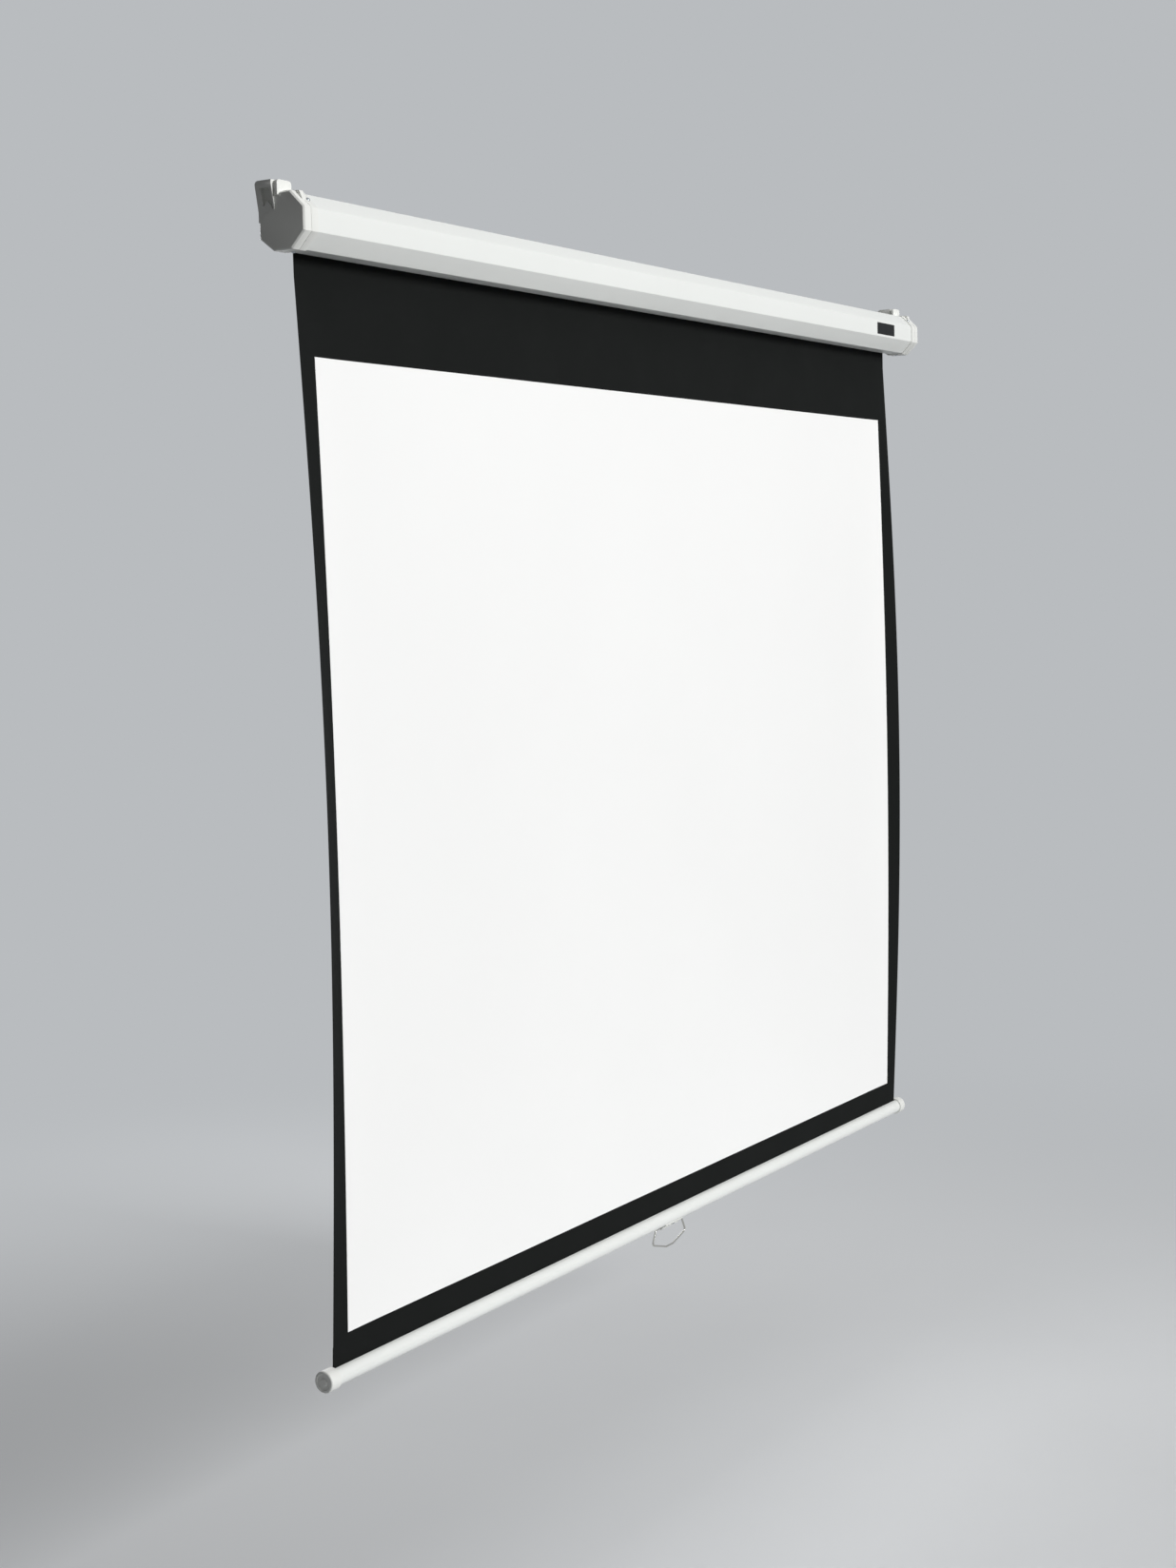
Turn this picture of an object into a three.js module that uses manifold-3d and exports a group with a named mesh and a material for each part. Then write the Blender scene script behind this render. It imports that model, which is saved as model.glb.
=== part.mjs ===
// Pull down projector screen: an octagonal steel case on two moulded end caps, a spring roller with a
// ratchet, a black masked vinyl sheet with a white viewing surface, and a weight bar with a wire handle.
// Millimetres. X runs along the case, +Y points into the wall behind it, +Z is up.
// The origin lies on the wall plane, midway between the end caps and level with the roller's axis.
import * as THREE from "three";
import { mergeVertices } from "three/addons/utils/BufferGeometryUtils.js";
import Module from "manifold-3d";

// Fits shared by all pieces
const seatGap = 0.3;
const cutOverrun = 1;
const joinOverlap = 0.3;
const roundSteps = 32;
const smallSteps = 12;

// Sheet
const pictureWidth = 1707;
const pictureHeight = 1280;
const sideBorder = 32.5;
const topBorder = 127;
const bottomBorder = 40;
const vinylThickness = 0.4;
const curlWidth = 114;
const curlDepth = 23.5;
const curlStart = 27;
const curlColumns = 6;
const curlRows = 14;

// Case, rolled from one sheet
const caseSides = 8;
const caseAcross = 69;
const caseWall = 1;
const caseBendRadius = 2;
const bendSteps = 3;
const lipOffset = 13.4;
const lipHeight = 4;
const returnWidth = 4;

// End caps
const sheetToCap = 15.5;
const capAcross = 72;
const capLength = 28;
const capPlate = 4;
const capBevel = 2;
const grooveDepth = 0.5;
const grooveWidth = 1;
const rimLength = 14;
const rearFootDrop = 5;

// Hanger on each end cap: a rear lug, a slit, a block in front of it, and a low pad before the block.
// What is in front of the roller's axis or behind it is measured from there.
const hangerRise = 15;
const hangerRound = 5;
const hangerSteps = 4;
const lugLength = 24.5;
const blockFront = 3;
const blockThickness = 4.5;
const blockLength = 26;
const blockProud = 2.8;
const slitWidth = 2.5;
const slitDepth = 11;
const padInset = 10;
const padLength = 8;
const padRise = 2.5;
const padReach = 21.4;
const padFootReach = 26.8;
const bossProud = 6;
const bossFoot = 13;
const pocketWall = 2.2;
const pocketTopWall = 8.5;
const pocketWidth = 15;
const pocketFlare = 1.6;
const pocketApexPlace = 7;
const pocketApexDepth = 16;
const pocketFrontDepth = 28;
const pocketRearDepth = 23;
const pocketFloor = 1.2;

// End brackets inside the case
const bracketThickness = 3;
const hubRadius = 9;
const hubLength = 6;
const screwSpread = 20;

// Screws
const shankRadius = 1.5;
const shankLength = 3.4;
const headRadius = 3;
const headHeight = 1.7;
const screwPlace = 6;

// Roller
const fabricOffset = 18.5;
const tubeRadius = 16;
const tubeWall = 1;
const tubeEndClearance = 26;
const plugLength = 30;
const flangeLength = 3;
const pinRadius = 4;
const bushWall = 1.7;
const bushFlange = 2.5;
const bushFlangeLength = 1.2;

// Spring motor
const shaftRadius = 4;
const spearWidth = 6.4;
const spearThickness = 3.4;
const springLength = 201;
const anchorLength = 20;
const shaftTail = 12;
const collarLength = 6;
const collarClearance = 1.5;
const collarRadius = 12;
const springRadius = 9;
const springWire = 2.4;
const springPitch = 5.6;
const springSteps = 8;
const springSides = 5;

// Ratchet
const ratchetRadius = 9;
const ratchetThickness = 4;
const notchWidth = 6.4;
const notchFloor = 5.4;
const pawlPivotRadius = 13;
const pawlPivotAngle = 38;
const pawlBoss = 2.9;
const pawlInner = 11.8;
const pawlOuter = 14.6;
const pawlNose = 9.5;
const pawlHeelAngle = 44;
const pawlNoseStartAngle = 84;
const pawlNoseEndAngle = 97;
const pawlThickness = 3.4;
const pivotRadius = 1.5;
const pivotHead = 2.4;
const pivotHeadLength = 1.2;
const pivotSeat = 2;

// Weight bar
const barRadius = 12.5;
const barWall = 1.4;
const barSlot = 3;
const sheetToBarCap = 1;
const barCapRadius = 15;
const barCapLength = 20;
const barCapEnd = 3;
const barCapRound = 2.5;
const dishDepth = 1.2;
const dishRadius = 11;
const buttonRadius = 5;
const hemRodRadius = 3.6;
const hemRodSetback = 6;
const hemHeight = 28;

// Handle
const wireRadius = 1.5;
const wireSides = 8;
const handleTopHalf = 42;
const handleWideHalf = 54;
const handleFootHalf = 10.5;
const handleWideDrop = 22.5;
const handleFootDrop = 35;
const handleBend = 5;
const clipLength = 54;
const clipHalf = 6;
const clipWall = 1.4;
const clipWingAngle = 52;
const clipScrewAngle = 38;
const clipHeadRadius = 2;
const clipHeadHeight = 1.1;
const clipShankRadius = 1;

// Places worked out from the sizes
const half = 0.5;
const axisY = -capAcross * half;
const fabricHalf = pictureWidth * half + sideBorder;
const capEdge = fabricHalf + sheetToCap;
const capFace = capEdge + capLength;
const capInner = capFace - capPlate;
const capRadius = capAcross * half;
const hangerTop = capRadius + hangerRise;
const hangerFoot = capRadius - capPlate;
const slitFront = blockFront + blockThickness;
const slitRear = slitFront + slitWidth;
const caseEnd = capInner - seatGap;
const caseBottom = -caseAcross * half;
const pictureTop = caseBottom - topBorder;
const pictureBottom = pictureTop - pictureHeight;
const barTop = pictureBottom - bottomBorder;
const barZ = barTop - barRadius;
const barEnd = fabricHalf + sheetToBarCap + barCapLength;
const tubeEnd = capInner - tubeEndClearance;
const plugFlangeStart = tubeEnd + seatGap;
const plugFace = plugFlangeStart + flangeLength;
const plateOuter = caseEnd;
const plateInner = plateOuter - bracketThickness;
const hubFace = plateInner - hubLength;
const boreRadius = pinRadius + seatGap;
const bushRadius = boreRadius + bushWall;
const hemInner = hemRodRadius + seatGap;
const hemOuter = hemInner + vinylThickness;
const hemRodZ = barRadius - barWall - seatGap - hemOuter;
const handleZ = -barRadius - seatGap - wireRadius;

// Materials
const finish = (color, roughness, metalness) => {
  return new THREE.MeshStandardMaterial({ color, roughness, metalness });
};
const whiteEnamel = finish("#eeeeec", 0.45, 0);
const whitePlastic = finish("#f0f0ee", 0.4, 0);
const blackVinyl = finish("#141614", 0.85, 0);
const whiteVinyl = finish("#fbfbfa", 0.9, 0);
const zincSteel = finish("#b4b7ba", 0.35, 1);
const brightSteel = finish("#cfd1d3", 0.25, 1);
const springSteel = finish("#6d6f72", 0.4, 1);
const paleNylon = finish("#dcdacf", 0.5, 0);

// Solids for cutting and joining
const wasm = await Module();
wasm.setup();

function toSolid(geometry) {
  const bare = new THREE.BufferGeometry();
  bare.setAttribute("position", geometry.getAttribute("position").clone());
  if (geometry.index) bare.setIndex(geometry.index.clone());
  const merged = mergeVertices(bare);
  const vertProperties = new Float32Array(merged.attributes.position.array);
  const triVerts = new Uint32Array(merged.index.array);
  return new wasm.Manifold(new wasm.Mesh({ numProp: 3, vertProperties, triVerts }));
}

function toGeometry(solid) {
  const mesh = solid.getMesh();
  const geometry = new THREE.BufferGeometry();
  geometry.setAttribute("position", new THREE.BufferAttribute(mesh.vertProperties, 3));
  geometry.setIndex(new THREE.BufferAttribute(mesh.triVerts, 1));
  return geometry;
}

function cut(body, ...tools) {
  const solid = tools.reduce((left, tool) => left.subtract(toSolid(tool)), toSolid(body));
  return toGeometry(solid);
}

function join(body, ...others) {
  const solid = others.reduce((sum, other) => sum.add(toSolid(other)), toSolid(body));
  return toGeometry(solid);
}

// Shapes in the plane across the case, as points [y, z]
const fullTurn = 360;
const halfTurn = 180;
const quarterTurn = 90;
const downward = 270;
const radians = THREE.MathUtils.degToRad;
const polar = (radius, angle) => [radius * Math.cos(radians(angle)), radius * Math.sin(radians(angle))];

function arc(radius, from, to, steps) {
  return Array.from({ length: steps + 1 }, (_, i) => polar(radius, from + ((to - from) * i) / steps));
}

function octagon(across) {
  const corner = (across * half) / Math.cos(Math.PI / caseSides);
  const step = fullTurn / caseSides;
  return Array.from({ length: caseSides }, (_, i) => polar(corner, step * (i + half)));
}

function outline(points, ...holes) {
  const shape = new THREE.Shape(points.map(([y, z]) => new THREE.Vector2(y, z)));
  holes.forEach((hole) => shape.holes.push(new THREE.Path(hole.map(([y, z]) => new THREE.Vector2(y, z)))));
  return shape;
}

// Rounds each inner corner of a chain of points with a tangent arc of the given steps.
function roundCorners(points, radius, steps) {
  const rounded = [points[0]];
  for (let i = 1; i < points.length - 1; i++) {
    const corner = new THREE.Vector3(...points[i]);
    const before = new THREE.Vector3(...points[i - 1]).sub(corner).normalize();
    const after = new THREE.Vector3(...points[i + 1]).sub(corner).normalize();
    const opening = before.angleTo(after) * half;
    const bisector = before.clone().add(after).normalize();
    const centre = corner.clone().addScaledVector(bisector, radius / Math.sin(opening));
    const first = corner.clone().addScaledVector(before, radius / Math.tan(opening)).sub(centre);
    const turnAxis = before.clone().cross(after).normalize().negate();
    const sweep = Math.PI - 2 * opening;
    for (let k = 0; k <= steps; k++) {
      const point = first.clone().applyAxisAngle(turnAxis, (sweep * k) / steps).add(centre);
      rounded.push(point.toArray().slice(0, points[i].length));
    }
  }
  rounded.push(points[points.length - 1]);
  return rounded;
}

// A band of even thickness that lies on the left of a chain of points.
function band(points, thickness) {
  const shifted = points.map(([y, z], i) => {
    const [y0, z0] = points[Math.max(i - 1, 0)];
    const [y1, z1] = points[Math.min(i + 1, points.length - 1)];
    const before = new THREE.Vector2(y - y0, z - z0).normalize();
    const after = new THREE.Vector2(y1 - y, z1 - z).normalize();
    const along = before.clone().add(after).normalize();
    const reach = thickness / Math.max(along.dot(before), along.dot(after));
    return [y - along.y * reach, z + along.x * reach];
  });
  return outline([...points, ...shifted.reverse()]);
}

// Forms along the case
const acrossCase = new THREE.Matrix4().makeBasis(
  new THREE.Vector3(0, 1, 0),
  new THREE.Vector3(0, 0, 1),
  new THREE.Vector3(1, 0, 0),
);

function prism(shape, from, to) {
  const geometry = new THREE.ExtrudeGeometry(shape, { depth: to - from, bevelEnabled: false, steps: 1 });
  return geometry.applyMatrix4(acrossCase).translate(from, 0, 0);
}

// A closed profile of points [radius, x], in order against the clock, turned round the X axis.
function turned(profile, steps = roundSteps) {
  const points = [...profile, profile[0]].map(([radius, x]) => new THREE.Vector2(radius, x));
  return new THREE.LatheGeometry(points, steps).rotateZ(-Math.PI * half);
}

const rod = (radius, from, to, steps) => turned([[0, from], [radius, from], [radius, to], [0, to]], steps);

function ring(inner, outer, from, to, steps) {
  return turned([[inner, from], [outer, from], [outer, to], [inner, to]], steps);
}

// A skin over rows of points with equal counts, closed round each row and at both ends.
function loft(rows) {
  const count = rows[0].length;
  const faces = [];
  for (let r = 0; r < rows.length - 1; r++) {
    for (let i = 0; i < count; i++) {
      const j = (i + 1) % count;
      const [a, b, c, d] = [r * count + i, r * count + j, (r + 1) * count + i, (r + 1) * count + j];
      faces.push(a, b, d, a, d, c);
    }
  }
  const last = (rows.length - 1) * count;
  for (let i = 1; i < count - 1; i++) {
    faces.push(0, i + 1, i, last, last + i, last + i + 1);
  }
  const geometry = new THREE.BufferGeometry();
  geometry.setAttribute("position", new THREE.Float32BufferAttribute(rows.flat(2), 3));
  geometry.setIndex(faces);
  return geometry;
}

const mirrored = (geometry) => {
  const flipped = geometry.index ? geometry.clone() : mergeVertices(geometry.clone());
  flipped.scale(-1, 1, 1);
  const order = flipped.index.array;
  for (let i = 0; i < order.length; i += 3) [order[i + 1], order[i + 2]] = [order[i + 2], order[i + 1]];
  return flipped;
};

// Pieces and their placing
const screen = new THREE.Group();
const besideAxis = new THREE.Group();
besideAxis.position.set(0, axisY, 0);
const barGroup = new THREE.Group();
barGroup.position.set(0, fabricOffset, barZ);
besideAxis.add(barGroup);
screen.add(besideAxis);

function place(name, geometry, material, group = besideAxis) {
  const mesh = new THREE.Mesh(geometry, material);
  mesh.name = name;
  group.add(mesh);
  return mesh;
}

// Case: seven sides of the octagon in one bent sheet. The eighth, low at the back, is left open for the
// sheet. The bottom ends in a lip turned up inside, and the rear wall in a short return.
function caseShell() {
  const corners = octagon(caseAcross);
  const [rearLow, frontLow] = [corners[7], corners[5]];
  const returnEnd = [rearLow[0] - returnWidth * Math.SQRT1_2, rearLow[1] - returnWidth * Math.SQRT1_2];
  const lipFoot = [lipOffset, frontLow[1]];
  const lipTop = [lipOffset, frontLow[1] + lipHeight];
  const chain = [returnEnd, rearLow, ...corners.slice(0, 6), lipFoot, lipTop];
  return prism(band(roundCorners(chain, caseBendRadius, bendSteps), caseWall), -caseEnd, caseEnd);
}

// The outline of an end cap: an octagon whose rear wall reaches further down.
function capOutline(across) {
  const corners = octagon(across);
  const [rear, foot] = corners.pop();
  return [...corners, [rear, foot - rearFootDrop]];
}

// End cap: an octagonal cup with a groove and a rim round its edge, and the hanger on top.
function capBody() {
  const section = (across, x) => capOutline(across).map(([y, z]) => [x, y, z]);
  const grooveStart = capFace - rimLength - grooveWidth;
  const grooved = capAcross - 2 * grooveDepth;
  return loft([
    section(capAcross, capEdge),
    section(capAcross, grooveStart),
    section(grooved, grooveStart),
    section(grooved, grooveStart + grooveWidth),
    section(capAcross, grooveStart + grooveWidth),
    section(capAcross, capFace - capBevel),
    section(capAcross - 2 * capBevel, capFace),
  ]);
}

// The lug's rear and top, round where they meet
function lugCorner(foot) {
  const corners = [[capRadius, foot], [capRadius, hangerTop], [slitRear, hangerTop]];
  return roundCorners(corners, hangerRound, hangerSteps);
}

// The rear lug, with the floor of the slit in front of it.
function hangerLug() {
  const slitFloor = hangerTop - slitDepth;
  const front = slitFront - joinOverlap;
  const floor = [[slitRear, slitFloor], [front, slitFloor], [front, hangerFoot]];
  return prism(outline([...lugCorner(0), ...floor]), capFace - lugLength, capFace);
}

// The part of the lug that stands out of the cap's face, most at its top.
function hangerBoss() {
  const outer = capFace + bossProud;
  const body = prism(outline([...lugCorner(bossFoot), [slitRear, bossFoot]]), capFace - capBevel, outer);
  const below = bossFoot - cutOverrun;
  const slant = [
    [capFace, below],
    [capFace, bossFoot],
    [outer, hangerTop - hangerRound],
    [outer + cutOverrun, hangerTop - hangerRound],
    [outer + cutOverrun, below],
  ];
  const ends = [slitRear - cutOverrun, capRadius + cutOverrun];
  return cut(body, loft(ends.map((y) => slant.map(([x, z]) => [x, y, z]))));
}

// The block in front of the slit. It stands a little proud of the cap's face, and its top corners are round.
function hangerBlock() {
  const inner = capFace - blockLength;
  const outer = capFace + blockProud;
  const corners = [[inner, hangerFoot], [inner, hangerTop], [outer, hangerTop], [outer, hangerFoot]];
  const shape = roundCorners(corners, hangerRound, hangerSteps);
  return loft([blockFront, slitFront].map((y) => shape.map(([x, z]) => [x, y, z])));
}

// The pad: its top falls from the block to the level of the cap's top, and its foot ends on the upper chamfer.
function hangerPad() {
  const rear = blockFront + joinOverlap;
  const foot = [-padFootReach, capRadius * Math.SQRT2 - padFootReach];
  const profile = [[rear, hangerFoot], [rear, capRadius + padRise], [-padReach, capRadius], foot];
  const outer = capFace - padInset;
  return prism(outline(profile), outer - padLength, outer);
}

// The pocket for the wall's hook: its foot has two points, one on each side of an apex.
function hangerPocket() {
  const top = hangerTop - pocketTopWall;
  const front = slitRear + pocketWall;
  const rear = front + pocketWidth;
  const profile = [
    [front, top],
    [front, top - pocketFrontDepth],
    [front + pocketApexPlace, top - pocketApexDepth],
    [rear, top - pocketRearDepth],
    [rear + pocketFlare, top],
  ];
  return prism(outline(profile), capInner + pocketFloor, capFace + bossProud + cutOverrun);
}

// Screws: a domed head on a plain shank, standing on the plane x = 0 and pointing to -X.
function screwForm(shank, length, head, height) {
  const dome = arc(1, 0, quarterTurn, bendSteps).map(([c, s]) => [head * c, height * s]);
  return turned([[0, -length], [shank, -length], [shank, 0], ...dome], smallSteps);
}

// The places of the two screws in each cap: [angle round the axis, name]
const capScrews = [
  [quarterTurn + fullTurn / caseSides, "upper"],
  [downward, "lower"],
];

function ontoFacet(geometry, angle, along, distance) {
  const turn = new THREE.Matrix4().makeRotationX(radians(angle));
  const stand = new THREE.Matrix4().makeRotationZ(Math.PI * half);
  return geometry.applyMatrix4(stand).translate(0, distance, 0).applyMatrix4(turn).translate(along, 0, 0);
}

function endCap() {
  const inner = octagon(caseAcross + 2 * seatGap);
  const cavity = prism(outline(inner), capEdge - cutOverrun, capInner);
  const holes = capScrews.map(([angle]) => {
    const drill = rod(shankRadius + seatGap, -shankLength - seatGap, headHeight, smallSteps);
    return ontoFacet(drill, angle, capEdge + screwPlace, capRadius);
  });
  const holeEnd = plateInner + shankLength + seatGap + capPlate * half;
  const bracketHoles = [-screwSpread, screwSpread].map((y) => {
    return rod(shankRadius + seatGap, capInner - cutOverrun, holeEnd, smallSteps).translate(0, y, 0);
  });
  const solid = join(capBody(), hangerLug(), hangerBlock(), hangerPad(), hangerBoss());
  return cut(solid, cavity, hangerPocket(), ...holes, ...bracketHoles);
}

// Brackets: an octagonal plate inside the end of the case, with a hub for the roller's end.
function bracket(opening) {
  const across = caseAcross - 2 * (lipHeight + caseWall + seatGap);
  const plate = prism(outline(octagon(across)), plateInner, plateOuter);
  const hub = rod(hubRadius, hubFace, plateOuter);
  const holes = [-screwSpread, screwSpread].map((y) => {
    const [start, end] = [plateInner - cutOverrun, plateOuter + cutOverrun];
    return rod(shankRadius + seatGap, start, end, smallSteps).translate(0, y, 0);
  });
  return cut(join(plate, hub), opening, ...holes);
}

const rectangle = (width, height) => [
  [-width * half, -height * half],
  [width * half, -height * half],
  [width * half, height * half],
  [-width * half, height * half],
];

const spearOpening = () => {
  const hole = rectangle(spearThickness + 2 * seatGap, spearWidth + 2 * seatGap);
  return prism(outline(hole), hubFace - cutOverrun, plateOuter + cutOverrun);
};

const bushOpening = () => rod(bushRadius + seatGap, hubFace - cutOverrun, plateOuter + cutOverrun);

place("case_shell", cut(caseShell(), ...[-1, 1].flatMap((side) => capScrews.map(([angle]) => {
  const drill = rod(shankRadius + seatGap, -capRadius * half, headHeight, smallSteps);
  return ontoFacet(drill, angle, side * (capEdge + screwPlace), capRadius);
}))), whiteEnamel);

const cap = endCap();
place("end_cap_right", cap, whitePlastic);
place("end_cap_left", mirrored(cap), whitePlastic);
place("spear_bracket", bracket(spearOpening()), zincSteel);
place("idle_bracket", mirrored(bracket(bushOpening())), zincSteel);

for (const [side, sign] of [["left", -1], ["right", 1]]) {
  for (const [angle, level] of capScrews) {
    const screw = screwForm(shankRadius, shankLength, headRadius, headHeight);
    const seated = ontoFacet(screw, angle, sign * (capEdge + screwPlace), capRadius + seatGap);
    place(`cap_screw_${side}_${level}`, seated, zincSteel);
  }
  for (const [y, face] of [[-screwSpread, "front"], [screwSpread, "rear"]]) {
    const screw = screwForm(shankRadius, bracketThickness + capPlate * half, headRadius, headHeight);
    screw.rotateZ(Math.PI).translate(plateInner - seatGap, y, 0);
    place(`bracket_screw_${side}_${face}`, sign > 0 ? screw : mirrored(screw), zincSteel);
  }
}

// Bush: a flanged nylon sleeve in the left bracket, round the roller's idle pin.
const bush = cut(
  join(
    rod(bushRadius, hubFace - seatGap - bushFlangeLength, plateOuter),
    rod(boreRadius + bushFlange, hubFace - seatGap - bushFlangeLength, hubFace - seatGap),
  ),
  rod(boreRadius, hubFace - hubLength, plateOuter + cutOverrun),
);
place("idle_bush", mirrored(bush), paleNylon);

// Roller: a steel tube with a moulded plug in each end, wound with what is left of the sheet.
place("roller_tube", ring(tubeRadius - tubeWall, tubeRadius, -tubeEnd, tubeEnd), zincSteel);

function fabricRoll() {
  const outer = fabricOffset - vinylThickness * half - seatGap;
  const spiral = Array.from({ length: roundSteps + 1 }, (_, i) => {
    const share = i / roundSteps;
    return polar(outer - vinylThickness * (1 - share), fullTurn * share);
  });
  const bore = arc(tubeRadius + seatGap, fullTurn, 0, roundSteps).slice(0, -1);
  return prism(outline(spiral, bore), -fabricHalf, fabricHalf);
}
place("fabric_roll", fabricRoll(), blackVinyl);

const plugRadius = tubeRadius - tubeWall - seatGap;
const plugProfile = (bore) => [
  [bore, tubeEnd - plugLength],
  [plugRadius, tubeEnd - plugLength],
  [plugRadius, plugFlangeStart],
  [tubeRadius, plugFlangeStart],
  [tubeRadius, plugFace],
];
const idlePin = [[pinRadius, plugFace], [pinRadius, plateOuter - cutOverrun], [0, plateOuter - cutOverrun]];
place("idle_end_plug", mirrored(turned([...plugProfile(0), ...idlePin])), paleNylon);

const [pivotAcross, pivotUp] = polar(pawlPivotRadius, pawlPivotAngle);
const drivePlug = turned([...plugProfile(shaftRadius + seatGap), [shaftRadius + seatGap, plugFace]]);
const pivotHoles = [-1, 1].map((side) => {
  const drill = rod(pivotRadius + seatGap, plugFace - pivotSeat, plugFace + cutOverrun, smallSteps);
  return drill.translate(0, side * pivotAcross, side * pivotUp);
});
place("drive_end_plug", cut(drivePlug, ...pivotHoles), paleNylon);

// Spring motor: a fixed shaft with a flat spear end, a collar on it, and a plug that turns with the tube.
const collarPlace = tubeEnd - plugLength - collarClearance - collarLength;
const collarFace = collarPlace - seatGap;
const anchorFace = collarFace - springLength;
const anchorPlace = anchorFace - seatGap - anchorLength;
const spearStart = plateInner - hubLength - seatGap;

function springShaft() {
  const round = rod(shaftRadius, anchorPlace + anchorLength - shaftTail, spearStart);
  const spear = prism(outline(rectangle(spearThickness, spearWidth)), spearStart - cutOverrun, plateOuter);
  const trim = ring(shaftRadius, capAcross, spearStart - 2 * cutOverrun, plateOuter + cutOverrun);
  const trimmed = cut(spear, trim);
  return join(round, trimmed);
}
place("spring_shaft", springShaft(), zincSteel);
const shaftBore = shaftRadius + seatGap;
place("spring_collar", ring(shaftBore, collarRadius, collarPlace, collarPlace + collarLength), zincSteel);
place("spring_anchor_plug", ring(shaftBore, plugRadius, anchorPlace, anchorPlace + anchorLength), paleNylon);

// Spring: a helix with straight ends that meet the collar and the plug square on.
const springRun = collarFace - anchorFace - 2 * springWire;
const springTurns = Math.round(springRun / springPitch);

function springPath() {
  const count = springTurns * springSteps;
  const coil = Array.from({ length: count + 1 }, (_, i) => {
    const [y, z] = polar(springRadius, (fullTurn * i) / springSteps);
    return new THREE.Vector3(anchorFace + springWire + (springRun * i) / count, y, z);
  });
  const tail = coil[0].clone().setX(anchorFace);
  const nose = coil[count].clone().setX(collarFace);
  return [tail, ...coil, nose];
}

// A tube of flat-sided rings round a chain of points, each ring square to the mean direction there.
function chainTube(points, radius, sides, reference) {
  const rows = points.map((point, i) => {
    const before = points[Math.max(i - 1, 0)];
    const after = points[Math.min(i + 1, points.length - 1)];
    const along = after.clone().sub(before).normalize();
    const aside = reference(point, i).cross(along).normalize();
    const up = along.clone().cross(aside);
    return Array.from({ length: sides }, (_, k) => {
      const [c, s] = polar(radius, (fullTurn * k) / sides);
      return point.clone().addScaledVector(aside, c).addScaledVector(up, s).toArray();
    });
  });
  return loft(rows);
}

const springPoints = springPath();
const springInward = (point) => new THREE.Vector3(0, -point.y, -point.z);
place("torsion_spring", chainTube(springPoints, springWire * half, springSides, springInward), springSteel);

function leastSelfGap(points, wire, apart) {
  let least = Infinity;
  for (let i = 0; i < points.length; i++) {
    for (let j = i + apart; j < points.length; j++) least = Math.min(least, points[i].distanceTo(points[j]));
  }
  return least - wire;
}
const springGap = leastSelfGap(springPoints, springWire, springSteps);
console.log("torsion_spring least gap to itself", springGap.toFixed(2), "mm");

// Ratchet: a notched disc fixed on the shaft, between two pawls that swing on the turning plug.
const pawlStart = plugFace + seatGap;

function ratchetWheel() {
  const disc = ring(shaftRadius + seatGap, ratchetRadius, pawlStart, pawlStart + ratchetThickness);
  const notch = [
    [-notchWidth * half, notchFloor],
    [notchWidth * half, notchFloor],
    [notchWidth * half, ratchetRadius + cutOverrun],
    [-notchWidth * half, ratchetRadius + cutOverrun],
  ];
  const opposite = notch.map(([y, z]) => [-y, -z]);
  const cutters = [notch, opposite].map((points) => {
    return prism(outline(points), pawlStart - cutOverrun, pawlStart + ratchetThickness + cutOverrun);
  });
  return cut(disc, ...cutters);
}
place("ratchet_wheel", ratchetWheel(), zincSteel);

function pawl() {
  const arm = [
    ...arc(pawlInner, pawlHeelAngle, pawlNoseStartAngle, smallSteps),
    ...arc(pawlNose, pawlNoseStartAngle, pawlNoseEndAngle, 3),
    ...arc(pawlOuter, pawlNoseEndAngle, pawlHeelAngle, smallSteps),
  ];
  const blade = prism(outline(arm), pawlStart, pawlStart + pawlThickness);
  const boss = rod(pawlBoss, pawlStart, pawlStart + pawlThickness, roundSteps * half);
  const [start, end] = [pawlStart - cutOverrun, pawlStart + pawlThickness + cutOverrun];
  const bore = rod(pivotRadius + seatGap, start, end, roundSteps * half);
  boss.translate(0, pivotAcross, pivotUp);
  bore.translate(0, pivotAcross, pivotUp);
  return cut(join(blade, boss), bore);
}

const pivotPin = turned([
  [0, plugFace - pivotSeat + seatGap],
  [pivotRadius, plugFace - pivotSeat + seatGap],
  [pivotRadius, pawlStart + pawlThickness + seatGap],
  [pivotHead, pawlStart + pawlThickness + seatGap],
  [pivotHead, pawlStart + pawlThickness + seatGap + pivotHeadLength],
  [0, pawlStart + pawlThickness + seatGap + pivotHeadLength],
], smallSteps).translate(0, pivotAcross, pivotUp);

for (const [name, angle] of [["a", 0], ["b", halfTurn]]) {
  const turn = new THREE.Matrix4().makeRotationX(radians(angle));
  place(`pawl_${name}`, pawl().applyMatrix4(turn), zincSteel);
  place(`pawl_pin_${name}`, pivotPin.clone().applyMatrix4(turn), brightSteel);
}

// Sheet: flat in the middle, with each long edge curling forward along a parabola. The curl grows from
// nothing under the case to its full depth halfway down and back to nothing at the weight bar, as a sine.
const flatHalf = fabricHalf - curlWidth;
const curlTop = caseBottom - curlStart;

function curl(x, z) {
  const share = Math.max(Math.abs(x) - flatHalf, 0) / curlWidth;
  const fall = THREE.MathUtils.clamp((curlTop - z) / (curlTop - barTop), 0, 1);
  return curlDepth * share * share * Math.sin(Math.PI * fall);
}

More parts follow.
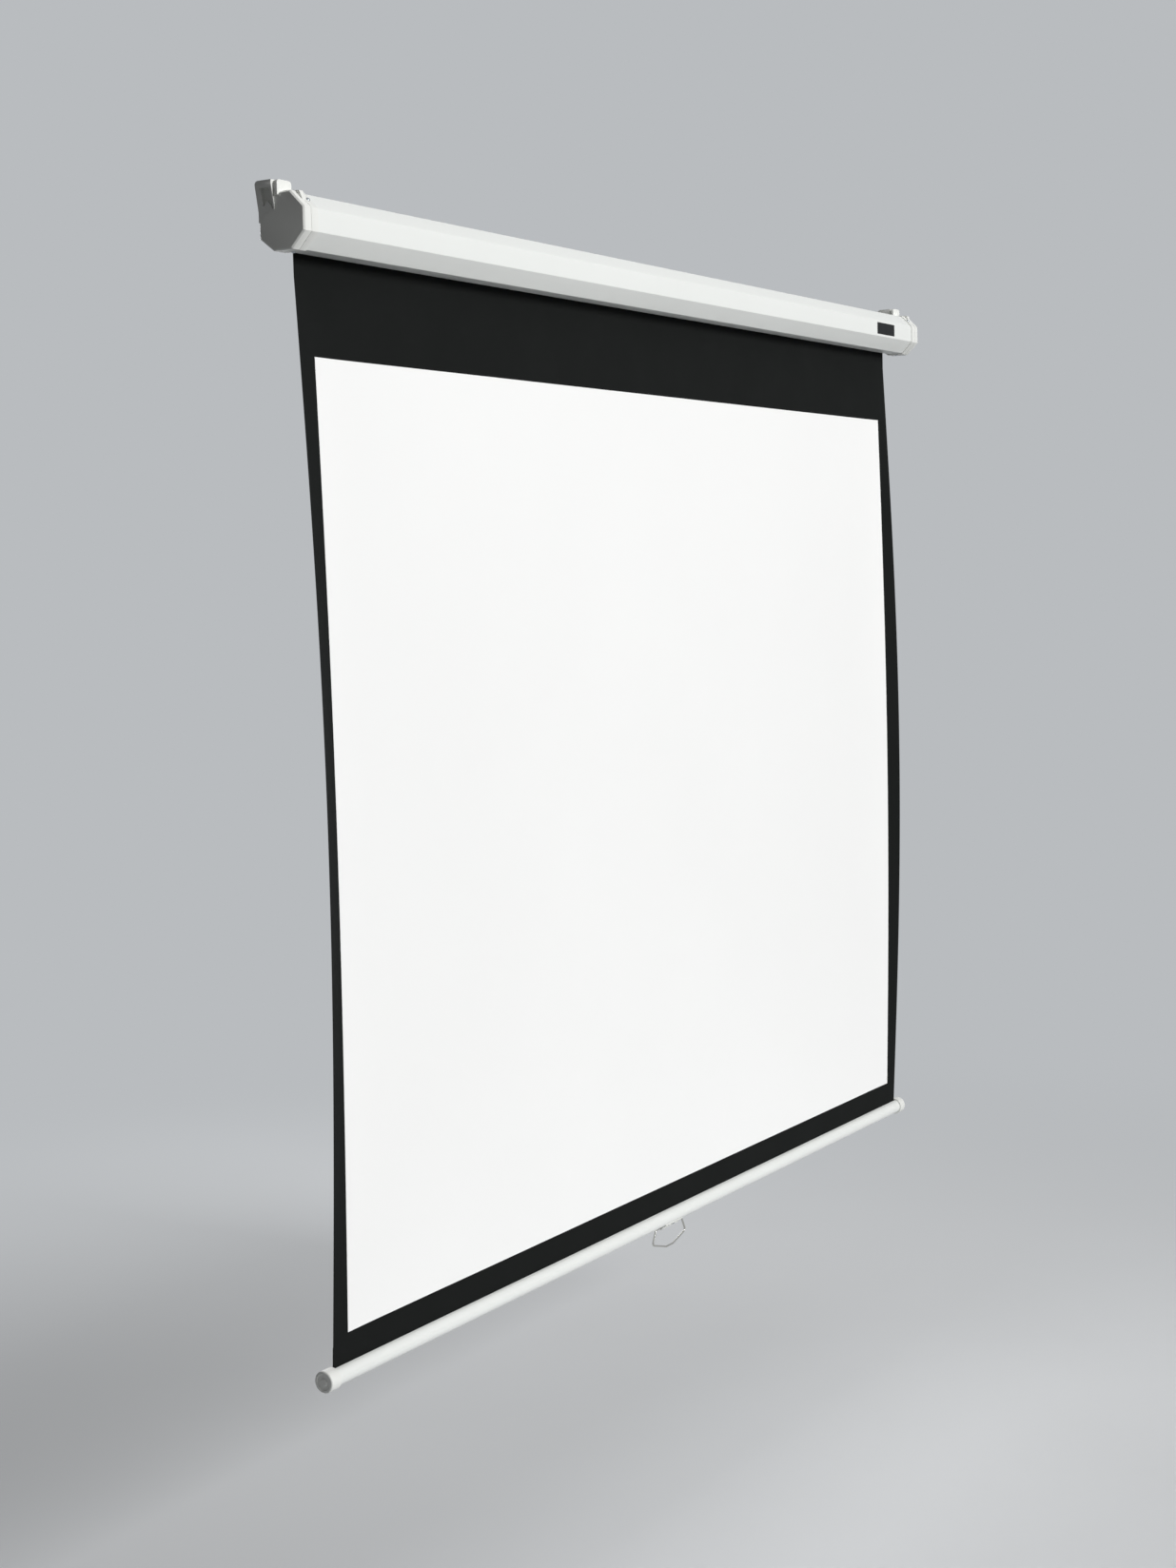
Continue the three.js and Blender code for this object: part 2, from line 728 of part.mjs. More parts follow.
const inOrder = (values) => [...new Set(values)].sort((a, b) => a - b);
const spread = (from, to, count) => {
  return Array.from({ length: count + 1 }, (_, i) => from + ((to - from) * i) / count);
};
const curlEdges = spread(flatHalf, flatHalf + curlWidth, curlColumns);
const sheetColumns = inOrder([...curlEdges, pictureWidth * half].flatMap((x) => [-x, x]));
const curlLevels = spread(curlTop, barTop, curlRows);
const sheetLevels = inOrder([...curlLevels, pictureTop, pictureBottom]);

// Both layers bend along the same columns and levels, so they lie parallel.
function sheetForm(halfWidth, top, bottom, front) {
  const across = sheetColumns.filter((x) => Math.abs(x) <= halfWidth);
  const down = inOrder([bottom, ...sheetLevels.filter((z) => z > bottom && z < top), top]);
  const layer = (depth) => down.flatMap((z) => across.map((x) => [x, depth - curl(x, z), z]));
  const positions = [...layer(front), ...layer(front + vinylThickness)];
  const width = across.length;
  const back = width * down.length;
  const faces = [];
  for (let r = 0; r < down.length - 1; r++) {
    for (let i = 0; i < width - 1; i++) {
      const [a, b, c, d] = [r * width + i, r * width + i + 1, (r + 1) * width + i, (r + 1) * width + i + 1];
      faces.push(a, b, d, a, d, c);
      faces.push(back + a, back + d, back + b, back + a, back + c, back + d);
    }
  }
  const wall = (a, b) => faces.push(a, back + a, back + b, a, back + b, b);
  for (let i = 0; i < width - 1; i++) {
    wall(i, i + 1);
    wall(back - 1 - i, back - 2 - i);
  }
  for (let r = 0; r < down.length - 1; r++) {
    wall((r + 1) * width, r * width);
    wall((r + 1) * width - 1, (r + 2) * width - 1);
  }
  const geometry = new THREE.BufferGeometry();
  geometry.setAttribute("position", new THREE.Float32BufferAttribute(positions.flat(), 3));
  geometry.setIndex(faces);
  return geometry;
}

const backFront = fabricOffset - vinylThickness * half;
place("screen_fabric", sheetForm(fabricHalf, 0, barTop + hemHeight + seatGap, backFront), blackVinyl);
const faceFront = backFront - seatGap - vinylThickness;
place("viewing_surface", sheetForm(pictureWidth * half, pictureTop, pictureBottom, faceFront), whiteVinyl);

// Hem: the sheet's foot, welded back on itself above the bar and looped round a rod inside the bar.
function sheetHem() {
  const loop = ring(hemInner, hemOuter, -fabricHalf, fabricHalf, roundSteps * half);
  const stripFoot = barZ + hemRodZ + hemInner + vinylThickness * half;
  const strip = sheetForm(fabricHalf, barTop + hemHeight, stripFoot, backFront);
  return join(loop.translate(0, fabricOffset, barZ + hemRodZ), strip);
}
place("sheet_hem", sheetHem(), blackVinyl);

// Weight bar: a tube with a slot along its top, for the sheet's hem with its rod.
function barTube() {
  const inner = barRadius - barWall;
  const edgeAngle = (radius) => THREE.MathUtils.radToDeg(Math.asin((barSlot * half) / radius));
  const outside = arc(barRadius, edgeAngle(barRadius), fullTurn - edgeAngle(barRadius), roundSteps);
  const inside = arc(inner, fullTurn - edgeAngle(inner), edgeAngle(inner), roundSteps);
  const end = barEnd - barCapEnd - seatGap;
  const holes = [-1, 1].map((side) => {
    const drill = rod(clipShankRadius + seatGap, -2 * barWall - seatGap, barWall, smallSteps);
    return ontoFacet(drill, downward + side * clipScrewAngle, 0, barRadius);
  });
  const tube = prism(outline([...outside, ...inside]), -end, end).rotateX(Math.PI * half);
  return cut(tube, ...holes);
}
place("weight_bar_tube", barTube(), whiteEnamel, barGroup);

const hemRodEnd = barEnd - barCapEnd - hemRodSetback;
const hemRod = rod(hemRodRadius, -hemRodEnd, hemRodEnd, roundSteps * half);
place("hem_rod", hemRod.translate(0, 0, hemRodZ), zincSteel, barGroup);

function barCap() {
  const end = barEnd;
  const round = arc(barCapRound, 0, quarterTurn, bendSteps).map(([c, s]) => [
    barCapRadius - barCapRound + c,
    end - barCapRound + s,
  ]);
  return turned([
    [0, end - barCapEnd],
    [barRadius + seatGap, end - barCapEnd],
    [barRadius + seatGap, end - barCapLength],
    [barCapRadius, end - barCapLength],
    ...round,
    [dishRadius, end],
    [dishRadius, end - dishDepth],
    [buttonRadius, end - dishDepth],
    [buttonRadius, end],
    [0, end],
  ]);
}
place("bar_cap_right", barCap(), whitePlastic, barGroup);
place("bar_cap_left", mirrored(barCap()), whitePlastic, barGroup);

// Handle: a closed loop of wire. Its straight top run lies close under the bar and turns in the clip's channel.
function handleLoop() {
  const foot = handleZ - handleFootDrop;
  const wide = handleZ - handleWideDrop;
  const corners = [
    [0, 0, handleZ],
    [handleTopHalf, 0, handleZ],
    [handleWideHalf, 0, wide],
    [handleFootHalf, 0, foot],
    [-handleFootHalf, 0, foot],
    [-handleWideHalf, 0, wide],
    [-handleTopHalf, 0, handleZ],
    [0, 0, handleZ],
  ];
  const points = roundCorners(corners, handleBend, bendSteps).map((p) => new THREE.Vector3(...p));
  points.pop();
  const rows = points.map((point, i) => {
    const before = points[(i + points.length - 1) % points.length];
    const after = points[(i + 1) % points.length];
    const along = after.clone().sub(before).normalize();
    const depth = new THREE.Vector3(0, 1, 0);
    const outward = along.clone().cross(depth);
    return Array.from({ length: wireSides }, (_, k) => {
      const [c, s] = polar(wireRadius, (fullTurn * k) / wireSides);
      return point.clone().addScaledVector(depth, c).addScaledVector(outward, s).toArray();
    });
  });
  const closed = loft([...rows, rows[0]]);
  const sides = Array.from(closed.index.array).slice(0, rows.length * wireSides * 6);
  closed.setIndex(sides);
  return mergeVertices(closed);
}
place("pull_handle", handleLoop(), brightSteel, barGroup);

function handleClip() {
  const hug = barRadius + seatGap;
  const back = hug + clipWall;
  const saddle = [
    ...arc(back, downward - clipWingAngle, downward + clipWingAngle, smallSteps),
    ...arc(hug, downward + clipWingAngle, downward - clipWingAngle, smallSteps),
  ];
  const block = [
    ...arc(wireRadius + seatGap + clipWall, halfTurn, fullTurn, smallSteps).map(([y, z]) => [y, z + handleZ]),
    [clipHalf, -hug - clipWall * half],
    [-clipHalf, -hug - clipWall * half],
  ];
  const reach = clipLength * half;
  const trim = rod(hug, -reach - cutOverrun, reach + cutOverrun);
  const boreEnd = reach + cutOverrun;
  const bore = rod(wireRadius + seatGap, -boreEnd, boreEnd, roundSteps * half).translate(0, 0, handleZ);
  const holes = [-1, 1].map((side) => {
    const drill = rod(clipShankRadius + seatGap, -2 * clipWall, clipHeadHeight, smallSteps);
    return ontoFacet(drill, downward + side * clipScrewAngle, 0, back);
  });
  const body = join(prism(outline(saddle), -reach, reach), prism(outline(block), -reach, reach));
  return cut(body, trim, bore, ...holes);
}
place("handle_clip", handleClip(), whitePlastic, barGroup);

for (const [name, side] of [["front", -1], ["rear", 1]]) {
  const screw = screwForm(clipShankRadius, clipWall + barWall + seatGap, clipHeadRadius, clipHeadHeight);
  const distance = barRadius + clipWall + 2 * seatGap;
  const seated = ontoFacet(screw, downward + side * clipScrewAngle, 0, distance);
  place(`clip_screw_${name}`, seated, zincSteel, barGroup);
}

export default screen;
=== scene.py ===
"""Pull down projector screen: the looks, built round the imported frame.

Sizes in the classes are millimetres in the frame's own axes: X runs along the case, +Y points into the
wall behind it and +Z is up. The origin is on the wall plane, midway between the end caps and level
with the roller's axis. Every mesh is turned to metres once, where its object is made. The studio's
places and sizes are metres.
"""

import logging
from dataclasses import dataclass, replace
from enum import Enum
from typing import Any, Sequence

import bmesh
import bpy
import numpy as np
from mathutils import Matrix

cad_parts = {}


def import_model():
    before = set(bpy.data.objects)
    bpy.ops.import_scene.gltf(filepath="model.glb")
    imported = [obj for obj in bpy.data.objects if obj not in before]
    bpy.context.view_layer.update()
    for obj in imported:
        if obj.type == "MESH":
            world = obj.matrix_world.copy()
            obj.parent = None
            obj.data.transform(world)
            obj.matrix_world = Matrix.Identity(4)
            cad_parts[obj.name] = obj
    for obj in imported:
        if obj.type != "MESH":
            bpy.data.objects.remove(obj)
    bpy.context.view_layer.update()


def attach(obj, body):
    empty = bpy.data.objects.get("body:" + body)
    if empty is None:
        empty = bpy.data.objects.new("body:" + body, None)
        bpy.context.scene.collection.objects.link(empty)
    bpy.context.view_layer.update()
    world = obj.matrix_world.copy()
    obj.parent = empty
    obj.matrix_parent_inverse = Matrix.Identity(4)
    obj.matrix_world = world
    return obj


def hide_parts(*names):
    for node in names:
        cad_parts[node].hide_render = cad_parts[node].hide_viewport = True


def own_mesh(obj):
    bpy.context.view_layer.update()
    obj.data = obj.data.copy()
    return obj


log = logging.getLogger("projector_screen")

MM = 0.001
HALF = 0.5
TURN = 2 * np.pi
MERGE_DISTANCE = 0.0005 * MM

# What several sub-assemblies share: the axes along X that forms are made round, and the sheet's sizes

ROLLER_AXIS = (0.0, -36.0, 0.0)
BAR_AXIS = (0.0, -17.5, -1494.0)
ROD_AXIS = (0.0, -17.5, -1487.5)
SHEET_HALF = 886.0
VINYL = 0.4

Array = np.ndarray
Tree = bpy.types.NodeTree
Piece = bpy.types.Object
Point = tuple[float, float, float]


class Body(Enum):
    """The moving bodies of the frame."""

    HOUSING = "housing"
    ROLLER = "roller"
    PAWL_A = "pawl_a"
    PAWL_B = "pawl_b"
    WEIGHT_BAR = "weight_bar"
    HANDLE = "handle"


class Slot(Enum):
    """The material slots of the record."""

    WHITE_ENAMEL = "white_enamel"
    WHITE_PLASTIC = "white_plastic"
    BLACK_VINYL = "black_vinyl"
    WHITE_VINYL = "white_vinyl"
    ZINC_STEEL = "zinc_steel"
    SCREW_STEEL = "screw_steel"
    PALE_NYLON = "pale_nylon"
    BRIGHT_STEEL = "bright_steel"
    SPRING_STEEL = "spring_steel"


class Side(Enum):
    """The two ends of the screen, by the sign of X."""

    LEFT = -1
    RIGHT = 1

    @property
    def word(self) -> str:
        """The end's name in the names of pieces."""
        return self.name.lower()


def linear(colour: str) -> tuple[float, float, float, float]:
    """Turns an sRGB hex colour to linear light, by the sRGB curve's line and power.

    Args:
        colour: six hex digits after a hash sign.

    Returns:
        Red, green, blue and an alpha of one.
    """
    knee = 0.04045
    slope = 12.92
    offset = 0.055
    power = 2.4
    values = np.array([int(colour[i : i + 2], 16) for i in (1, 3, 5)]) / 255
    bright = np.where(values <= knee, values / slope, ((values + offset) / (1 + offset)) ** power)
    return (*(float(v) for v in bright), 1.0)


def add_node(
    tree: Tree,
    kind: str,
    inputs: dict[Any, Any] | None = None,
    **settings: Any,
) -> bpy.types.Node:
    """Adds a node with its settings, and gives each named input a value or a link.

    Args:
        tree: the tree that the node goes into.
        kind: the node's type name.
        inputs: values or output sockets, by the input's name or number.
        settings: properties of the node itself.

    Returns:
        The node.
    """
    made = tree.nodes.new(kind)
    for name, value in settings.items():
        setattr(made, name, value)
    for name, value in (inputs or {}).items():
        socket = made.inputs[name]
        if isinstance(value, bpy.types.NodeSocket):
            tree.links.new(value, socket)
        else:
            socket.default_value = value
    return made


def empty_tree(owner: Any) -> Tree:
    """Returns the node tree of a material or a world, emptied."""
    owner.use_nodes = True
    owner.node_tree.nodes.clear()
    return owner.node_tree


# Finishes


@dataclass(frozen=True)
class Finish:
    """What all finishes share: a colour that drifts a little, and a fine relief that catches the light.

    The drift is broad noise between the colour and its deeper tone, as no real surface is one even
    value, and the gloss follows it. The relief is fine noise through a bump. Both sizes and the relief's
    height are millimetres. Real grain of a few hundredths, as on moulded and drawn surfaces, is drawn at
    0.5 to 1 mm, as finer grain never shows. The usual noise is the range in which most of it lies.
    """

    title: str
    colour: str
    deeper: str
    roughness: float
    slot: Slot | None = None
    metallic: float = 0.0
    specular: float = 0.5
    drift_size: float = 160.0
    drift_detail: float = 3.0
    grain_size: float = 1.0
    grain_detail: float = 2.0
    relief_height: float = 0.01
    roughness_drift: float = 0.05
    usual_noise: tuple[float, float] = (0.3, 0.7)

    def material(self) -> bpy.types.Material:
        """Returns the material, made the first time that it is asked for."""
        found = bpy.data.materials.get(self.title)
        if found:
            return found
        made = bpy.data.materials.new(self.title)
        tree = empty_tree(made)
        place = self.place(tree)
        drift = add_node(tree, "ShaderNodeTexNoise", {
            "Vector": place,
            "Scale": 1 / (self.drift_size * MM),
            "Detail": self.drift_detail,
        })
        tone = add_node(tree, "ShaderNodeMix", {
            0: drift.outputs["Fac"],
            6: linear(self.colour),
            7: linear(self.deeper),
        }, data_type="RGBA")
        gloss = add_node(tree, "ShaderNodeMapRange", {
            "Value": drift.outputs["Fac"],
            "From Min": self.usual_noise[0],
            "From Max": self.usual_noise[1],
            "To Min": self.roughness - self.roughness_drift,
            "To Max": self.roughness + self.roughness_drift,
        })
        bump = add_node(tree, "ShaderNodeBump", {
            "Strength": 1.0,
            "Distance": self.relief_height * MM,
            "Height": self.height(tree, place),
        })
        shader = add_node(tree, "ShaderNodeBsdfPrincipled", {
            "Base Color": tone.outputs[2],
            "Metallic": self.metallic,
            "Roughness": gloss.outputs["Result"],
            "Specular IOR Level": self.specular,
            "Normal": bump.outputs["Normal"],
        })
        add_node(tree, "ShaderNodeOutputMaterial", {"Surface": shader.outputs[0]})
        return made

    def place(self, tree: Tree) -> Any:
        """Returns the socket with the point's place on the object, in metres."""
        return add_node(tree, "ShaderNodeTexCoord").outputs["Object"]

    def height(self, tree: Tree, place: Any) -> Any:
        """Returns the relief as a share of its height: fine noise with its grains' size."""
        return add_node(tree, "ShaderNodeTexNoise", {
            "Vector": place,
            "Scale": 1 / (self.grain_size * MM),
            "Detail": self.grain_detail,
        }).outputs["Fac"]


@dataclass(frozen=True)
class PowderCoat(Finish):
    """Polyester powder baked on steel sheet: a satin skin with orange peel that breaks up reflections."""

    title: str = "white_powder_coat"
    colour: str = "#eceeeb"
    deeper: str = "#e6e8e5"
    roughness: float = 0.38
    slot: Slot | None = Slot.WHITE_ENAMEL
    grain_size: float = 2.2
    relief_height: float = 0.02


@dataclass(frozen=True)
class MouldedAbs(Finish):
    """ABS moulded in a spark-eroded tool: matt, with an even fine grain and soft highlights at edges."""

    title: str = "white_moulded_abs"
    colour: str = "#ebece8"
    deeper: str = "#e4e5e1"
    roughness: float = 0.46
    slot: Slot | None = Slot.WHITE_PLASTIC
    drift_size: float = 45.0
    grain_size: float = 0.8
    relief_height: float = 0.015


@dataclass(frozen=True)
class Vinyl(Finish):
    """Glass-backed PVC: the weave of its backing shows through as a faint crossed relief.

    The threads are 1.1 mm apart, coarser than the real 0.5 mm. From the photograph's distance neither
    shows, as none does in the photograph. The pattern follows the sheet's own UV map, in metres along the
    cloth. A wave texture's phase in radians is the place times its scale times 20, so a thread's spacing
    takes a scale of a turn over 20 spacings.
    """

    thread_spacing: float = 1.1
    thread_wobble: float = 0.6
    thread_detail: float = 1.0
    relief_height: float = 0.02

    def place(self, tree: Tree) -> Any:
        """Returns the socket with the point's place on the cloth, in metres."""
        return add_node(tree, "ShaderNodeUVMap", uv_map="cloth").outputs["UV"]

    def height(self, tree: Tree, place: Any) -> Any:
        """Returns a weave of two crossed waves, with a little fine grain."""
        phase_rate = 20
        waves = [
            add_node(tree, "ShaderNodeTexWave", {
                "Vector": place,
                "Scale": TURN / (phase_rate * self.thread_spacing * MM),
                "Distortion": self.thread_wobble,
                "Detail": self.thread_detail,
            }, bands_direction=direction).outputs["Fac"]
            for direction in ("X", "Y")
        ]
        weave = add_node(tree, "ShaderNodeMath", {0: waves[0], 1: waves[1]}, operation="MULTIPLY")
        fine = super().height(tree, place)
        both = add_node(tree, "ShaderNodeMath", {0: weave.outputs[0], 1: fine}, operation="ADD")
        return both.outputs[0]


@dataclass(frozen=True)
class MaskVinyl(Vinyl):
    """The black border and back: dull black PVC that soaks up stray light, with a slight green cast."""

    title: str = "black_mask_vinyl"
    colour: str = "#0d0f0e"
    deeper: str = "#121413"
    roughness: float = 0.8
    slot: Slot | None = Slot.BLACK_VINYL
    specular: float = 0.12
    drift_size: float = 120.0
    grain_size: float = 1.4


@dataclass(frozen=True)
class ScreenVinyl(Vinyl):
    """The viewing surface: matt white PVC that spreads light evenly, with next to no gloss."""

    title: str = "matt_white_vinyl"
    colour: str = "#f6f6f5"
    deeper: str = "#f2f2f1"
    roughness: float = 0.92
    slot: Slot | None = Slot.WHITE_VINYL
    specular: float = 0.15
    drift_size: float = 420.0
    grain_size: float = 1.2
    relief_height: float = 0.006
    roughness_drift: float = 0.02


@dataclass(frozen=True)
class ZincPlate(Finish):
    """Bright zinc on steel: a bluish grey metal whose patchy crystals differ in gloss."""

    title: str = "zinc_plated_steel"
    colour: str = "#c3c8cb"
    deeper: str = "#9ca2a6"
    roughness: float = 0.32
    slot: Slot | None = Slot.ZINC_STEEL
    metallic: float = 1.0
    drift_size: float = 14.0
    grain_size: float = 3.0
    roughness_drift: float = 0.1


@dataclass(frozen=True)
class DrawnWire(Finish):
    """Nickel plate on drawn wire: bright and warm, with a gloss that varies a little along it."""

    title: str = "nickel_plated_wire"
    colour: str = "#d3d2cd"
    deeper: str = "#bcbab4"
    roughness: float = 0.2
    slot: Slot | None = Slot.BRIGHT_STEEL
    metallic: float = 1.0
    drift_size: float = 22.0
    grain_size: float = 0.7
    relief_height: float = 0.006
    roughness_drift: float = 0.06


@dataclass(frozen=True)
class TemperedWire(Finish):
    """Oil-tempered spring wire: a dark blue-grey oxide with a dull metal shine."""

    title: str = "oil_tempered_wire"
    colour: str = "#62666b"
    deeper: str = "#4a4c50"
    roughness: float = 0.4
    slot: Slot | None = Slot.SPRING_STEEL
    metallic: float = 1.0
    drift_size: float = 18.0
    grain_size: float = 0.6
    relief_height: float = 0.006
    roughness_drift: float = 0.08


@dataclass(frozen=True)
class NaturalNylon(Finish):
    """Unfilled nylon: a waxy off-white with a slight shine."""

    title: str = "natural_nylon"
    colour: str = "#e2dfd2"
    deeper: str = "#d6d2c2"
    roughness: float = 0.42
    slot: Slot | None = Slot.PALE_NYLON
    drift_size: float = 25.0


@dataclass(frozen=True)
class BarePlate(Finish):
    """The bare dark plate on the case: black anodised aluminium, satin and finely grained."""

    title: str = "dark_anodised_plate"
    colour: str = "#0d0e0f"
    deeper: str = "#131516"
    roughness: float = 0.34
    metallic: float = 0.6
    specular: float = 0.2
    drift_size: float = 30.0
    grain_size: float = 0.5
    relief_height: float = 0.008


# The screws' zinc is the other pieces' zinc, with a slot field of its own that nothing reads

POWDER_COAT = PowderCoat()
MOULDED_ABS = MouldedAbs()
MASK_VINYL = MaskVinyl()
SCREEN_VINYL = ScreenVinyl()
ZINC_PLATE = ZincPlate()
SCREW_ZINC = replace(ZINC_PLATE, slot=Slot.SCREW_STEEL)
DRAWN_WIRE = DrawnWire()
TEMPERED_WIRE = TemperedWire()
NATURAL_NYLON = NaturalNylon()
BARE_PLATE = BarePlate()


# Surfaces


@dataclass
class Surface:
    """A grid of points in millimetres with shape (rows, columns, 3), and the cloth's UV if it has one."""

    points: Array
    cloth: Array | None = None

    def faces(self, start: int) -> Array:
        """Returns the corners of the grid's quads, counted from the point number start."""
        rows, columns = self.points.shape[:2]
        number = start + np.arange(rows * columns).reshape(rows, columns)
        quads = np.stack([number[:-1, :-1], number[:-1, 1:], number[1:, 1:], number[1:, :-1]], axis=-1)
        return quads.reshape(-1, 4)


def unit(vectors: Array) -> Array:
    """Returns the vectors at length one."""
    return vectors / np.linalg.norm(vectors, axis=-1, keepdims=True)


def circle(radius: float, start: float, end: float, steps: int) -> Array:
    """Returns points on an arc: radius times the cosine and sine of angles in degrees, start to end."""
    angles = np.radians(np.linspace(start, end, steps + 1))
    return radius * np.stack([np.cos(angles), np.sin(angles)], axis=-1)


def octagon(across: float) -> Array:
    """Returns an octagon's corners: its radius is half the flats' distance over the cosine of half a
    side's turn."""
    half_side = 22.5
    radius = across * HALF / np.cos(np.radians(half_side))
    return circle(radius, half_side, 360 + half_side, 8)[:-1]


def rounded_chain(corners: Array, radius: float, steps: int) -> Array:
    """Rounds each inner corner of a chain with an arc that touches both of its sides.

    An arc's centre lies on the corner's bisector, at the radius over the sine of half the opening. Its
    points are the centre plus both tangent radii, weighted by sin((1 - t) s) / sin(s) and sin(t s) / sin(s)
    for a sweep s, which turns evenly from the first to the second.

    Args:
        corners: the chain's points, in two or three dimensions.
        radius: the arcs' radius.
        steps: the number of pieces in each arc.

    Returns:
        The chain with its ends kept and each inner corner as an arc.
    """
    corner = corners[1:-1]
    before = unit(corners[:-2] - corner)
    after = unit(corners[2:] - corner)
    opening = np.arccos(np.clip((before * after).sum(-1), -1, 1))[:, None] * HALF
    centre = corner + unit(before + after) * radius / np.sin(opening)
    first = corner + before * radius / np.tan(opening) - centre
    second = corner + after * radius / np.tan(opening) - centre
    sweep = (np.pi - 2 * opening)[:, None]
    t = np.linspace(0, 1, steps + 1)[None, :, None]
    arcs = centre[:, None] + (
        first[:, None] * np.sin((1 - t) * sweep) + second[:, None] * np.sin(t * sweep)
    ) / np.sin(sweep)
    return np.concatenate([corners[:1], arcs.reshape(-1, corners.shape[1]), corners[-1:]])


def shifted(chain: Array, distance: float) -> Array:
    """Moves each point along its mean normal, by the distance over the cosine of half the turn there.

    Args:
        chain: the points of a flat chain.
        distance: how far the chain's pieces move to their left.

    Returns:
        The moved chain, so that the band between both has an even thickness.
    """
    padded = np.concatenate([chain[:1], chain, chain[-1:]])
    before = chain - padded[:-2]
    after = padded[2:] - chain
    before[0] = after[0]
    after[-1] = before[-1]
    before = unit(before)
    along = unit(before + unit(after))
    reach = distance / (along * before).sum(-1, keepdims=True)
    return chain + np.stack([-along[:, 1], along[:, 0]], axis=-1) * reach


def with_mirror(half: Sequence[Sequence[float]], signs: Sequence[float]) -> Array:
    """Returns a flat chain that goes on with its mirror image in reverse, by the signs of x and y."""
    chain = np.array(half, float)
    return np.concatenate([chain, chain[::-1] * signs])


def extruded_band(chain: Array, thickness: float, half_length: float, sections: int) -> list[Surface]:
    """Carries a bent band of even thickness along X.

    The skin is the closed loop of the chain and its shifted copy, repeated evenly from minus to plus
    half_length. Each end is closed by the quads between the two chains.

    Args:
        chain: the outer chain in the plane across, as (y, z).
        thickness: the band's thickness, to the left of the chain.
        half_length: how far the band reaches to each side.
        sections: how often the loop is repeated.

    Returns:
        The skin and the two ends.
    """
    inner = shifted(chain, thickness)
    loop = np.concatenate([chain, inner[::-1], chain[:1]])
    skin = np.empty((sections, len(loop), 3))
    skin[..., 0] = np.linspace(-half_length, half_length, sections)[:, None]
    skin[..., 1:] = loop
    closed = []
    for place in (-half_length, half_length):
        end = np.empty((2, len(chain), 3))
        end[..., 0] = place
        end[..., 1:] = np.stack([chain, inner])
        closed.append(Surface(end))
    return [Surface(skin), *closed]


def turned(profile: Array, steps: int) -> Surface:
    """Turns a profile round X: y and z are the radius times the cosine and sine of the angle.

    Args:
        profile: a closed profile's points, as (radius, x).
        steps: the number of faces round it.

    Returns:
        The skin.
    """
    angle = np.linspace(0, TURN, steps + 1)
    loop = np.concatenate([profile, profile[:1]])
    radius = loop[:, :1]
    x = np.broadcast_to(loop[:, 1:], (len(loop), len(angle)))
    return Surface(np.stack([x, radius * np.cos(angle), radius * np.sin(angle)], axis=-1))


def tube(path: Array, radius: float, sides: int, toward: Array) -> Surface:
    """Carries a circle along a path.

    At each point the circle lies across the mean direction of the path there, and its first spoke is the
    part of the vector toward that is square to that direction.

    Args:
        path: the points of the centre line.
        radius: the tube's radius.
        sides: the number of faces round it.
        toward: a vector for each point, or one for all.

    Returns:
        The tube's open skin, with its first and last point as poles.
    """
    padded = np.concatenate([path[:1], path, path[-1:]])
    along = unit(padded[2:] - padded[:-2])
    aside = unit(np.cross(np.broadcast_to(toward, path.shape), along))
    up = np.cross(along, aside)
    angle = np.linspace(0, TURN, sides + 1)[None, :, None]
    ring = path[:, None] + radius * (aside[:, None] * np.cos(angle) + up[:, None] * np.sin(angle))
    poles = [np.broadcast_to(point, (1, sides + 1, 3)) for point in (path[0], path[-1])]
    return Surface(np.concatenate([poles[0], ring, poles[1]]))


def moved(surfaces: Sequence[Surface], offset: Sequence[float]) -> list[Surface]:
    """Returns surfaces moved by an offset."""
    return [Surface(s.points + np.asarray(offset), s.cloth) for s in surfaces]


def mirrored(surfaces: Sequence[Surface]) -> list[Surface]:
    """Returns surfaces mirrored across the middle of the screen, X to minus X."""
    return [Surface(s.points * np.array([-1.0, 1.0, 1.0]), s.cloth) for s in surfaces]


# Pieces


def put(name: str, data: Any) -> Piece:
    """Returns an object made of a mesh, a lamp or a camera, and put into the scene."""
    made = bpy.data.objects.new(name, data)
    bpy.context.scene.collection.objects.link(made)
    return made


